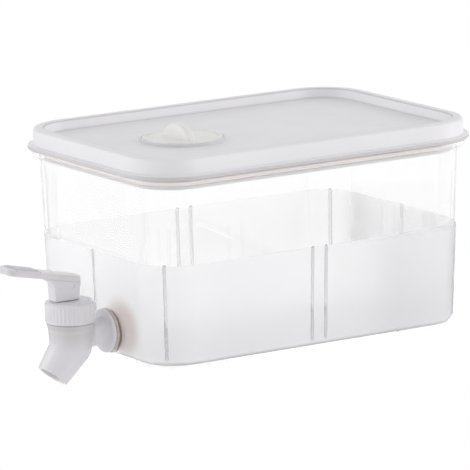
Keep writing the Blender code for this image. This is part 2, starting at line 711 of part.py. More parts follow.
def inlet_pipe():
    """The pipe from the barrel through the shoulder to the end of the shank, along the inlet's axis."""
    tip = SHOULDER_BACK_X + SHANK_LENGTH - TAP_X
    shoulder_back = SHOULDER_BACK_X - TAP_X
    shoulder_front = shoulder_back - SHOULDER_THICKNESS
    edge = SHOULDER_THICKNESS / 4
    profile = [
        (0, tip),
        (SHANK_RADIUS - edge, tip),
        (SHANK_RADIUS, tip - edge),
        (SHANK_RADIUS, shoulder_back),
        (SHOULDER_RADIUS - edge, shoulder_back),
        (SHOULDER_RADIUS, shoulder_back - edge),
        (SHOULDER_RADIUS, shoulder_front + edge),
        (SHOULDER_RADIUS - edge, shoulder_front),
        (INLET_RADIUS + edge, shoulder_front),
        (INLET_RADIUS, shoulder_front - edge),
        (INLET_RADIUS, 0),
        (0, 0),
    ]
    at = Vector((TAP_X, TAP_OFFSET, INLET_HEIGHT))
    return turned("inlet_pipe", profile, at=at, turn=ALONG_X, steps=SMALL_TURN_STEPS)


def spout(name, top_radius, mouth_radius, length, start):
    """The leaning spout or its bore: a cone from the elbow to the mouth, with a round upper end."""
    dome = arc((0, -start), top_radius, 90, 0, ROUND_STEPS)
    profile = dome + [(mouth_radius, -length), (0, -length)]
    lean = Matrix.Rotation(SPOUT_TILT, 4, "Y")
    at = Vector((TAP_X, TAP_OFFSET, ELBOW_HEIGHT))
    return turned(name, profile, at=at, turn=lean, steps=SMALL_TURN_STEPS + ROUND_STEPS * 2)


def washer(name, low, thickness, inner, outer, at, turn=None, material=SILICONE):
    """A flat ring."""
    profile = [(inner, low + thickness), (outer, low + thickness), (outer, low), (inner, low)]
    return turned(name, profile, material, at=at, turn=turn, ring=True, steps=SMALL_TURN_STEPS)


def make_gaskets():
    """The soft washers on both sides of the tub's wall and under the bonnet."""
    bore = SHANK_RADIUS + SEAT_GAP
    outer_x = BOSS_FACE_X - FIT_GAP - GASKET_THICKNESS
    plug_radius = CHAMBER_RADIUS - SEAT_GAP
    bonnet_low = THREAD_CROWN + SEAT_GAP
    return (
        washer("outer_gasket", outer_x, GASKET_THICKNESS, bore, SHOULDER_RADIUS, INLET_AXIS, ALONG_X),
        washer("inner_gasket", INNER_GASKET_X, GASKET_THICKNESS, bore, NUT_RADIUS, INLET_AXIS, ALONG_X),
        washer("bonnet_gasket", bonnet_low, BONNET_GASKET, plug_radius + SEAT_GAP, THREAD_RADIUS, TAP_AXIS),
    )


def make_lock_nut():
    """The hexagonal nut with a round flange that holds the tap from inside the tub."""
    flange = [
        (0, NUT_FLANGE),
        (NUT_RADIUS - NUT_FLANGE / 4, NUT_FLANGE),
        (NUT_RADIUS, NUT_FLANGE * 3 / 4),
        (NUT_RADIUS, 0),
        (0, 0),
    ]
    at = INLET_AXIS + Vector((NUT_X, 0, 0))
    nut = turned("lock_nut", flange, GREY, at=at, turn=ALONG_X)
    bm = bmesh.new()
    corner_radius = NUT_RADIUS - SEAT_GAP * 2
    bmesh.ops.create_cone(
        bm,
        cap_ends=True,
        segments=6,
        radius1=corner_radius,
        radius2=corner_radius,
        depth=NUT_LENGTH - NUT_FLANGE / 2,
    )
    rims = [edge for edge in bm.edges if abs(edge.verts[0].co.z - edge.verts[1].co.z) < FIT_GAP]
    top_rim = [edge for edge in rims if edge.verts[0].co.z > 0]
    soften(bm, top_rim, NUT_FLANGE / 3, 1)
    bmesh.ops.translate(bm, verts=bm.verts, vec=(0, 0, NUT_FLANGE / 2 + (NUT_LENGTH - NUT_FLANGE / 2) / 2))
    add(nut, new_object("nut_hexagon", mesh_from(bm, "nut_hexagon"), None, at=at, turn=ALONG_X))
    bore_radius = SHANK_RADIUS + FIT_GAP
    bore = [
        (0, NUT_LENGTH + OVERRUN),
        (bore_radius, NUT_LENGTH + OVERRUN),
        (bore_radius, -OVERRUN),
        (0, -OVERRUN),
    ]
    cut(nut, turned("nut_bore", bore, at=at, turn=ALONG_X))
    return nut


def collar_ring(radius, height, flute=0.0):
    """A ring of the collar nut, with its flutes pressed in by a depth."""
    count = COLLAR_FLUTES * FLUTE_POINTS
    points = []
    for i in range(count):
        angle = 2 * math.pi * i / count
        dip = flute * (0.5 - 0.5 * math.cos(2 * math.pi * i / FLUTE_POINTS))
        points.append(Vector(((radius - dip) * math.cos(angle), (radius - dip) * math.sin(angle), height)))
    return points


def make_collar_nut():
    """The fluted collar that screws down on the barrel and holds the bonnet."""
    bore = THREAD_RADIUS + SEAT_GAP
    lip = BONNET_BOSS_RADIUS + SEAT_GAP
    shoulder = COLLAR_CROWN - COLLAR_CHAMFER
    rings = [
        collar_ring(COLLAR_RADIUS - COLLAR_LOW_EDGE, COLLAR_FOOT),
        collar_ring(COLLAR_RADIUS, COLLAR_FOOT + COLLAR_LOW_EDGE),
        collar_ring(COLLAR_RADIUS, COLLAR_FOOT + COLLAR_LOW_EDGE * 2, FLUTE_DEPTH),
        collar_ring(COLLAR_RADIUS, shoulder - COLLAR_LOW_EDGE, FLUTE_DEPTH),
        collar_ring(COLLAR_RADIUS, shoulder),
        collar_ring(COLLAR_RADIUS - COLLAR_CHAMFER, COLLAR_CROWN),
    ]
    hollow = [
        (0, COLLAR_CROWN + OVERRUN),
        (lip, COLLAR_CROWN + OVERRUN),
        (lip, COLLAR_LIP),
        (bore, COLLAR_LIP),
        (bore, COLLAR_FOOT - OVERRUN),
        (0, COLLAR_FOOT - OVERRUN),
    ]
    nut = new_object("collar_nut", mesh_from(loft(rings), "collar_nut"), GREY, at=TAP_AXIS)
    cut(nut, turned("collar_hollow", hollow, at=TAP_AXIS))
    return nut


def make_bonnet():
    """The bonnet that guides the stem: boss, flange, a plug in the barrel, and a pocket for the spring."""
    bore = STEM_RADIUS + SEAT_GAP
    plug = CHAMBER_RADIUS - SEAT_GAP
    pocket = plug - BONNET_PLUG_WALL
    plug_foot = FLANGE_FOOT - BONNET_PLUG_DEPTH
    gland_radius = bore + STEM_SEAL_WIRE * 2 + FIT_GAP
    gland_middle = (POCKET_CEILING + BONNET_CROWN) / 2
    gland_half = STEM_SEAL_WIRE + FIT_GAP
    edge = BONNET_FLANGE / 4
    profile = [
        (bore, BONNET_CROWN),
        (BONNET_BOSS_RADIUS - edge, BONNET_CROWN),
        (BONNET_BOSS_RADIUS, BONNET_CROWN - edge),
        (BONNET_BOSS_RADIUS, FLANGE_CROWN),
        (THREAD_RADIUS, FLANGE_CROWN),
        (THREAD_RADIUS, FLANGE_FOOT),
        (plug, FLANGE_FOOT),
        (plug, plug_foot),
        (pocket, plug_foot),
        (pocket, POCKET_CEILING),
        (bore, POCKET_CEILING),
        (bore, gland_middle - gland_half),
        (gland_radius, gland_middle - gland_half),
        (gland_radius, gland_middle + gland_half),
        (bore, gland_middle + gland_half),
    ]
    return turned("bonnet", profile, GREY, at=TAP_AXIS, ring=True)


def make_stem_seal():
    """The soft ring round the stem, in the bonnet's gland."""
    radius = STEM_RADIUS + SEAT_GAP + STEM_SEAL_WIRE
    centre = TAP_AXIS + Vector((0, 0, (POCKET_CEILING + BONNET_CROWN) / 2))
    return ring_seal("stem_seal", radius, STEM_SEAL_WIRE, centre, SMALL_TURN_STEPS)


def make_valve_stem():
    """The stem: a button at its foot, a shoulder for the spring, and a flat tab with the pin's hole.

    The tab's foot lies lower than the lever's cheeks reach when the lever is pressed.
    """
    button_top = STEM_BOTTOM + STEM_BUTTON_HEIGHT
    edge = STEM_SHOULDER_HEIGHT / 4
    dome = arc((0, PIN_HEIGHT), STEM_RADIUS, 90, 0, 5)
    profile = dome + [
        (STEM_RADIUS, SHOULDER_CROWN),
        (STEM_SHOULDER_RADIUS - edge, SHOULDER_CROWN),
        (STEM_SHOULDER_RADIUS, SHOULDER_CROWN - edge),
        (STEM_SHOULDER_RADIUS, SHOULDER_FOOT),
        (STEM_RADIUS, SHOULDER_FOOT),
        (STEM_RADIUS, button_top),
        (STEM_BUTTON_RADIUS, button_top),
        (STEM_BUTTON_RADIUS, STEM_BOTTOM),
        (0, STEM_BOTTOM),
    ]
    stem = turned("valve_stem", profile, GREY, at=TAP_AXIS, steps=SMALL_TURN_STEPS)
    flat = STEM_TAB_THICKNESS / 2
    wide = STEM_RADIUS + OVERRUN
    low = STEM_TAB_FOOT
    high = PIN_HEIGHT + wide
    for side in (1, -1):
        corners = sorted((side * flat, side * wide))
        cut(stem, box(f"tab_flat_{side}", (-wide, corners[0], low), (wide, corners[1], high), at=TAP_AXIS))
    cut(stem, pin_hole("stem_pin_hole"))
    return stem


def pin_hole(name):
    """A hole across the tap for the lever's pin."""
    radius = PIN_RADIUS + FIT_GAP
    half = NECK_WIDTH / 2 + OVERRUN
    profile = [(0, half), (radius, half), (radius, -half), (0, -half)]
    across = Matrix.Rotation(math.radians(90), 4, "X")
    at = TAP_AXIS + Vector((0, 0, PIN_HEIGHT))
    return turned(name, profile, at=at, turn=across, steps=SMALL_TURN_STEPS)


def make_seat_cup():
    """The soft cup snapped on the stem's button, which closes the valve's seat."""
    inner_radius = STEM_BUTTON_RADIUS + SEAT_GAP
    neck_radius = STEM_RADIUS + SEAT_GAP
    cavity_floor = CUP_BOTTOM + CUP_FLOOR
    cavity_top = STEM_BOTTOM + STEM_BUTTON_HEIGHT + SEAT_GAP
    top = CUP_BOTTOM + CUP_HEIGHT
    profile = [
        (0, cavity_floor),
        (inner_radius, cavity_floor),
        (inner_radius, cavity_top),
        (neck_radius, cavity_top),
        (neck_radius, top),
        (neck_radius + CUP_WALL, top),
        (CUP_RADIUS, (cavity_floor + cavity_top) / 2),
        (CUP_RADIUS - CUP_WALL / 2, CUP_BOTTOM),
        (0, CUP_BOTTOM),
    ]
    return turned("seat_cup", profile, SILICONE, at=TAP_AXIS, steps=SMALL_TURN_STEPS)


def make_return_spring():
    """The spring between the stem's shoulder and the bonnet, as one unbroken wound wire."""
    low = SHOULDER_CROWN + SEAT_GAP + SPRING_WIRE
    high = POCKET_CEILING - SEAT_GAP - SPRING_WIRE
    count = SPRING_TURNS * SPRING_POINTS
    curve = bpy.data.curves.new("return_spring", "CURVE")
    curve.dimensions = "3D"
    curve.bevel_depth = SPRING_WIRE
    curve.bevel_resolution = 1
    curve.use_fill_caps = True
    spline = curve.splines.new("POLY")
    spline.points.add(count)
    for i, point in enumerate(spline.points):
        angle = 2 * math.pi * i / SPRING_POINTS
        height = low + (high - low) * i / count
        point.co = (SPRING_RADIUS * math.cos(angle), SPRING_RADIUS * math.sin(angle), height, 1)
    gap = (high - low) / SPRING_TURNS - SPRING_WIRE * 2
    print(f"return_spring: least gap between curls {gap * 1000:.2f} mm")
    spring = bpy.data.objects.new("return_spring", curve)
    spring.location = TAP_AXIS
    curve.materials.append(STEEL)
    PARTS.objects.link(spring)
    return spring


def heel_outline():
    """The neck's side view from the pin: flat heel, rolling heel, front fillet up to the paddle, rear fillet.

    The rolling heel is an involute, so that the pin rises by the cam offset for each radian of press.
    """
    pin_to_bonnet = PIN_RISE - SEAT_GAP
    rolling = []
    for i in range(7):
        turn = LEVER_PRESS * i / 6
        rise = pin_to_bonnet + CAM_OFFSET * turn
        x = -rise * math.sin(turn) - CAM_OFFSET * math.cos(turn)
        z = -rise * math.cos(turn) + CAM_OFFSET * math.sin(turn)
        rolling.append((x, z))
    front_x = rolling[-1][0]
    paddle_middle = PADDLE_RISE - PADDLE_THICKNESS / 2
    under_paddle = PADDLE_RISE - PADDLE_THICKNESS - front_x * math.tan(PADDLE_TILT)
    front_centre = (front_x - NECK_FILLET, under_paddle - NECK_FILLET + NECK_FILLET * math.tan(PADDLE_TILT))
    front_fillet = arc(front_centre, NECK_FILLET, 0, 90, 6)
    tip_side = (front_fillet[-1][0], front_fillet[-1][1] + PADDLE_THICKNESS / 2)
    rear_x = NECK_REAR + NECK_REAR_FILLET
    rear_top = paddle_middle - rear_x * math.tan(PADDLE_TILT)
    rear = [(rear_x, rear_top), (rear_x, 0), (NECK_REAR, -pin_to_bonnet / 2), (NECK_REAR, -pin_to_bonnet)]
    return rear + rolling + front_fillet + [tip_side]


def neck_flare():
    """The neck's swelling below the paddle, a loft from inside the neck out to most of the paddle's width."""
    front_x = -CAM_OFFSET - NECK_FLARE
    rings = []
    for step in range(ROUND_STEPS + 1):
        share = step / ROUND_STEPS
        swell = 1 - math.cos(share * math.pi / 2)
        half_width = NECK_WIDTH / 2 - FIT_GAP + (NECK_FLARE + FIT_GAP) * swell
        height = PADDLE_RISE - PADDLE_THICKNESS - NECK_FLARE + (NECK_FLARE + PADDLE_THICKNESS / 2) * share
        middle = (front_x + NECK_REAR) / 2
        half_length = (NECK_REAR - front_x) / 2 - FIT_GAP
        ring = rectangle_ring(half_length, half_width, NECK_FLARE / 3, height, 2)
        rings.append([point + Vector((middle, 0, 0)) for point in ring])
    return loft(rings)


def paddle():
    """The lever's paddle: wider and rounder at its tip, with soft edges, climbing away from the jug."""
    reach = PADDLE_REACH / math.cos(PADDLE_TILT)
    rear = PADDLE_REAR / math.cos(PADDLE_TILT)
    bm = bmesh.new()
    corners = [
        (rear, PADDLE_REAR_WIDTH / 2),
        (-reach, PADDLE_TIP_WIDTH / 2),
        (-reach, -PADDLE_TIP_WIDTH / 2),
        (rear, -PADDLE_REAR_WIDTH / 2),
    ]
    verts = [bm.verts.new((x, y, -PADDLE_THICKNESS)) for x, y in corners]
    bm.faces.new(verts)
    tips = [vert for vert in bm.verts if vert.co.x < 0]
    soften(bm, tips, PADDLE_TIP_CORNER, 6, "VERTICES")
    rears = [vert for vert in bm.verts if vert.co.x > PADDLE_REAR / 2]
    soften(bm, rears, PADDLE_REAR_CORNER, 2, "VERTICES")
    grown = bmesh.ops.extrude_face_region(bm, geom=list(bm.faces))
    moved = [item for item in grown["geom"] if isinstance(item, bmesh.types.BMVert)]
    bmesh.ops.translate(bm, verts=moved, vec=(0, 0, PADDLE_THICKNESS))
    rims = [edge for edge in bm.edges if abs(edge.verts[0].co.z - edge.verts[1].co.z) < FIT_GAP]
    soften(bm, rims, PADDLE_EDGE, 2)
    return bm


def grip_ridge(index):
    """One cross ridge of the paddle's grip, with a rounded top."""
    reach = PADDLE_REACH / math.cos(PADDLE_TILT)
    x = -reach + GRIP_TIP_INSET + GRIP_PITCH * index
    half = GRIP_PITCH * GRIP_RIDGE_SHARE / 2
    width = PADDLE_TIP_WIDTH - GRIP_SIDE_INSET * 2
    if index == 0:
        width -= GRIP_SIDE_INSET * 2
    outline = [
        (x + half, -GRIP_HEIGHT),
        (x + half, GRIP_HEIGHT * 0.6),
        (x + half / 2, GRIP_HEIGHT),
        (x - half / 2, GRIP_HEIGHT),
        (x - half, GRIP_HEIGHT * 0.6),
        (x - half, -GRIP_HEIGHT),
    ]
    return extruded(outline, width)


def make_lever():
    """The lever: a grooved paddle on a slotted neck whose heel rolls on the bonnet."""
    at = TAP_AXIS + Vector((0, 0, PIN_HEIGHT))
    climb = Matrix.Translation((0, 0, PADDLE_RISE)) @ Matrix.Rotation(PADDLE_TILT, 4, "Y")
    lever = new_object("lever", mesh_from(extruded(heel_outline(), NECK_WIDTH), "lever"), GREY, at=at)
    add(lever, new_object("neck_flare", mesh_from(neck_flare(), "neck_flare"), None, at=at))
    add(lever, new_object("paddle", mesh_from(paddle(), "paddle"), None, at=at, turn=climb))
    for i in range(GRIP_RIDGES):
        mesh = mesh_from(grip_ridge(i), f"grip_{i}")
        add(lever, new_object(f"grip_{i}", mesh, None, at=at, turn=climb))
    slot_half = STEM_TAB_THICKNESS / 2 + SEAT_GAP
    pin_to_bonnet = PIN_RISE - SEAT_GAP
    slot_front = pin_to_bonnet * math.tan(LEVER_PRESS) + STEM_RADIUS / math.cos(LEVER_PRESS) + SEAT_GAP
    slot = box(
        "stem_slot",
        (-slot_front, -slot_half, -pin_to_bonnet - OVERRUN),
        (SLOT_REAR, slot_half, SLOT_TOP),
        at=at,
    )
    cut(lever, slot, pin_hole("lever_pin_hole"))
    return lever


def make_hinge_pin():
    """The lever's pin, across the neck and through the stem's tab."""
    half = NECK_WIDTH / 2 - FIT_GAP
    edge = PIN_RADIUS / 4
    profile = [
        (0, half),
        (PIN_RADIUS - edge, half),
        (PIN_RADIUS, half - edge),
        (PIN_RADIUS, edge - half),
        (PIN_RADIUS - edge, -half),
        (0, -half),
    ]
    across = Matrix.Rotation(math.radians(90), 4, "X")
    at = TAP_AXIS + Vector((0, 0, PIN_HEIGHT))
    return turned("hinge_pin", profile, GREY, at=at, turn=across, steps=SMALL_TURN_STEPS)


def hold(parent, *children):
    """Makes pieces follow the one that carries them, where they stand."""
    bpy.context.view_layer.update()
    for child in children:
        place = child.matrix_world.copy()
        child.parent = parent
        child.matrix_parent_inverse = parent.matrix_world.inverted()
        child.matrix_world = place


def build():
    """Makes every piece and hangs the moving ones on what carries them."""
    tub = make_tub()
    lid = make_lid()
    cap = make_cap()
    body = make_tap_body()
    stem = make_valve_stem()
    lever = make_lever()
    hold(tub, lid, body, make_lock_nut(), *make_gaskets(), make_collar_nut(), make_bonnet(), make_stem_seal())
    hold(lid, cap, make_lid_seal())
    hold(cap, make_cap_seal())
    hold(body, stem)
    hold(stem, lever, make_seat_cup(), make_return_spring())
    hold(lever, make_hinge_pin())


build()
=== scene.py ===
"""Looks of a fridge water jug with a lever tap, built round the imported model.

Every length is in metres, in the model's own frame: +Z up, the tap towards -X, zero on the tub's underside.
"""

import logging
import math
from dataclasses import dataclass, field
from enum import Enum
from typing import Any, Optional, Sequence, Union

import bmesh
import bpy
import numpy as np
from mathutils import Matrix, Vector


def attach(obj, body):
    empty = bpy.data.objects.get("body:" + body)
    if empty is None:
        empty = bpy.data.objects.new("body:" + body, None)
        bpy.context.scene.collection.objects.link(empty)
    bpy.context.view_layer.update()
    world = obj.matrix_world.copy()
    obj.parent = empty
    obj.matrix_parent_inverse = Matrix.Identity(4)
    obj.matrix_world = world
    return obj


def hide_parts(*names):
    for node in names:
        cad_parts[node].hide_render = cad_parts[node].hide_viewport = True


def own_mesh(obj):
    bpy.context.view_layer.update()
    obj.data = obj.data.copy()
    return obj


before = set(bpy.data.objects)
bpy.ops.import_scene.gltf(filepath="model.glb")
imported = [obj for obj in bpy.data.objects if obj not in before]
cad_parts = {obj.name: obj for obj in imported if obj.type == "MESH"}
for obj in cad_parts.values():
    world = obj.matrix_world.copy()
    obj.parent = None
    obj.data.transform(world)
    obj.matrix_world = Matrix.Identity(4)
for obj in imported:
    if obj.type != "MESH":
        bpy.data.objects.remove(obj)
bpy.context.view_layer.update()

TURN = 2 * math.pi
TINY = 1e-6  # points nearer than this are one point
CORE = 0.0003  # the radius of a turned solid's first ring of points round its axis
OVERRUN = 0.002  # how far a cutter runs past what it cuts
GAP = 0.0003  # the clearance round rings and moving pieces
WHITE = (1.0, 1.0, 1.0)
Number = Union[int, float]
Colour = tuple[float, float, float]
Corner = tuple[float, float, float]
Inputs = dict[Union[str, int], Any]

log = logging.getLogger("fridge_water_jug")


class Body(Enum):
    """The bodies of the model that pieces ride on."""

    JUG = "jug"
    LID = "lid"
    CAP = "cap"
    STEM = "stem"
    LEVER = "lever"


class Slot(Enum):
    """The record's material slots."""

    CLEAR = "clear_plastic"
    WHITE = "white_plastic"
    CAP = "cap_plastic"
    TAP = "tap_plastic"
    SILICONE = "silicone"
    STEEL = "spring_steel"


class Cut(Enum):
    """How one solid is joined to another."""

    ADD = "UNION"
    REMOVE = "DIFFERENCE"


class Axis(Enum):
    """The direction that a turned shape's heights run in."""

    UP = "Z"
    INTO_JUG = "X"
    ACROSS = "Y"


# Shader expressions


class Value:
    """A number socket that Python's operators work on: each operator adds a Math node."""

    def __init__(self, sheet: "Sheet", socket: bpy.types.NodeSocket) -> None:
        """Wraps an output socket of a sheet's node."""
        self.sheet = sheet
        self.socket = socket

    def math(self, operation: str, *others: Union["Value", Number]) -> "Value":
        """A Math node with this value first."""
        return self.sheet.math(operation, self, *others)

    def __add__(self, other: Union["Value", Number]) -> "Value":
        """Sum."""
        return self.math("ADD", other)

    def __sub__(self, other: Union["Value", Number]) -> "Value":
        """Difference."""
        return self.math("SUBTRACT", other)

    def __rsub__(self, other: Number) -> "Value":
        """Difference with this value second."""
        return self.sheet.math("SUBTRACT", other, self)

    def __mul__(self, other: Union["Value", Number]) -> "Value":
        """Product."""
        return self.math("MULTIPLY", other)

    def __abs__(self) -> "Value":
        """Size without sign."""
        return self.math("ABSOLUTE")

    __radd__ = __add__
    __rmul__ = __mul__

    def above(self, low: Number, high: Number) -> "Value":
        """A soft step from 0 at low to 1 at high."""
        inputs = {"Value": self, "From Min": low, "From Max": high}
        return self.sheet.value("MapRange", "Result", inputs, interpolation_type="SMOOTHSTEP")


class Sheet:
    """The node sheet of one material or of the world."""

    def __init__(self, owner: Union[bpy.types.Material, bpy.types.World]) -> None:
        """Turns on an owner's nodes and empties its sheet.

        Args:
            owner: the material or the world.
        """
        owner.use_nodes = True
        self.tree = owner.node_tree
        self.tree.nodes.clear()

    def node(self, kind: str, inputs: Optional[Inputs] = None, **settings: Any) -> bpy.types.NodeOutputs:
        """Adds one node.

        Args:
            kind: the end of the node's type name.
            inputs: socket names or numbers, with the values or links that they take.
            settings: the node's own properties, set before its sockets.

        Returns:
            The node's outputs.
        """
        node = self.tree.nodes.new("ShaderNode" + kind)
        for name, setting in settings.items():
            setattr(node, name, setting)
        for name, given in (inputs or {}).items():
            socket = node.inputs[name]
            source = given.socket if isinstance(given, Value) else given
            if isinstance(source, bpy.types.NodeSocket):
                self.tree.links.new(source, socket)
            else:
                socket.default_value = (*source, 1.0) if socket.type == "RGBA" else source
        return node.outputs

    def value(self, kind: str, output: Union[str, int], inputs: Optional[Inputs] = None, **settings: Any) -> Value:
        """Adds one node and gives one of its outputs as a Value."""
        return Value(self, self.node(kind, inputs, **settings)[output])

    def shader(self, kind: str, inputs: Optional[Inputs] = None) -> bpy.types.NodeSocket:
        """Adds a shader's node and gives its output."""
        return self.node(kind, inputs)[0]

    def math(self, operation: str, *values: Union[Value, Number]) -> Value:
        """Adds a Math node that takes the values in order."""
        return self.value("Math", 0, dict(enumerate(values)), operation=operation)

    def place(self, scale: Sequence[float] = (1, 1, 1)) -> bpy.types.NodeSocket:
        """Points of the piece in metres, stretched along its axes."""
        where = self.node("TexCoord")["Object"]
        return self.node("Mapping", {"Vector": where, "Scale": scale})["Vector"]

    def noise(self, size: float, detail: float = 2, stretch: Sequence[float] = (1, 1, 1)) -> Value:
        """Cloudy noise.

        Args:
            size: the width of its lumps in metres.
            detail: how many finer layers it has.
            stretch: how much denser it is along each axis.

        Returns:
            A value from 0 to 1.
        """
        inputs = {"Vector": self.place(stretch), "Scale": 1 / size, "Detail": detail, "Roughness": 0.55}
        return self.value("TexNoise", "Fac", inputs)

    def attribute(self, name: str) -> Value:
        """A number that the piece's mesh carries at its points."""
        return self.value("Attribute", "Fac", attribute_name=name)

    def ray(self, kind: str) -> Value:
        """1 for rays of one kind and 0 for all others."""
        return self.value("LightPath", f"Is {kind} Ray")

    def blend(self, share: Union[Value, Number], first: Any, second: Any) -> bpy.types.NodeSocket:
        """Mixes two colours or colour sockets, with a share of the second."""
        inputs = {0: share, 6: first, 7: second}
        return self.node("Mix", inputs, data_type="RGBA", clamp_factor=True)[2]

    def mixed(self, share: Value, first: Any, second: Any) -> bpy.types.NodeSocket:
        """Mixes two shaders, with a share of the second."""
        return self.shader("MixShader", {0: share, 1: first, 2: second})

    def bump(self, height: Value, depth: float, strength: float) -> bpy.types.NodeSocket:
        """A normal that follows a height from 0 to 1, with the relief's depth in metres."""
        return self.node("Bump", {"Height": height, "Distance": depth, "Strength": strength})["Normal"]

    def finish(self, shader: bpy.types.NodeSocket, kind: str = "OutputMaterial") -> None:
        """Links the last shader to the sheet's output."""
        self.node(kind, {"Surface": shader})


# Finishes


@dataclass(frozen=True)
class Finish:
    """What a piece is made of."""

    name: str

    def surface(self, sheet: Sheet) -> bpy.types.NodeSocket:
        """The shader of the surface."""
        raise NotImplementedError

    def build(self) -> bpy.types.Material:
        """Makes the material.

        Returns:
            The material.
        """
        material = bpy.data.materials.new(self.name)
        sheet = Sheet(material)
        sheet.finish(self.surface(sheet))
        return material


@dataclass(frozen=True)
class MouldedPlastic(Finish):
    """A glossy or satin moulded plastic: faint clouds, a fine skin, handling marks, and painted shade from its groove
    values.
    """

    colour: Colour
    shade: Colour
    roughness: float = 0.3
    cloud_size: float = 0.03
    translucency: float = 0.0
    coat: float = 0.0
    scuff_share: float = 0.5
    rough_change: float = 0.12
    skin_depth: float = 0.00002
    # the colour of painted shade, which the mesh's groove values blend towards
    painted_shade: Colour = (0.50, 0.48, 0.49)
    depth_of_light: tuple[float, float, float] = (0.004, 0.0038, 0.0036)

    def surface(self, sheet: Sheet) -> bpy.types.NodeSocket:
        """The shader, whose painted shade follows the values that the mesh carries under the name groove.

        Args:
            sheet: the material's sheet.

        Returns:
            The shader's socket.
        """
        clouds = sheet.noise(self.cloud_size, 3)
        scuffs = sheet.noise(0.004, 4, (0.15, 1.0, 1.0)).above(0.62, 0.72) * self.scuff_share
        grain = sheet.noise(0.0006, 2)
        clean = sheet.blend(clouds.above(0.3, 0.7) * 0.6 + scuffs * 0.15, self.colour, self.shade)
        return sheet.shader("BsdfPrincipled", {
            # painted shade: the groove values darken the colour towards a grey
            "Base Color": sheet.blend(sheet.attribute("groove"), clean, self.painted_shade),
            "Roughness": self.roughness + (clouds - 0.5 + scuffs) * self.rough_change,
            "IOR": 1.5,
            "Coat Weight": self.coat,
            "Coat Roughness": 0.08,
            "Subsurface Weight": self.translucency,
            "Subsurface Radius": self.depth_of_light,
            "Subsurface Scale": 1.0,
            "Normal": sheet.bump(grain * 0.6 + clouds * 0.4, self.skin_depth, 0.5),
        })


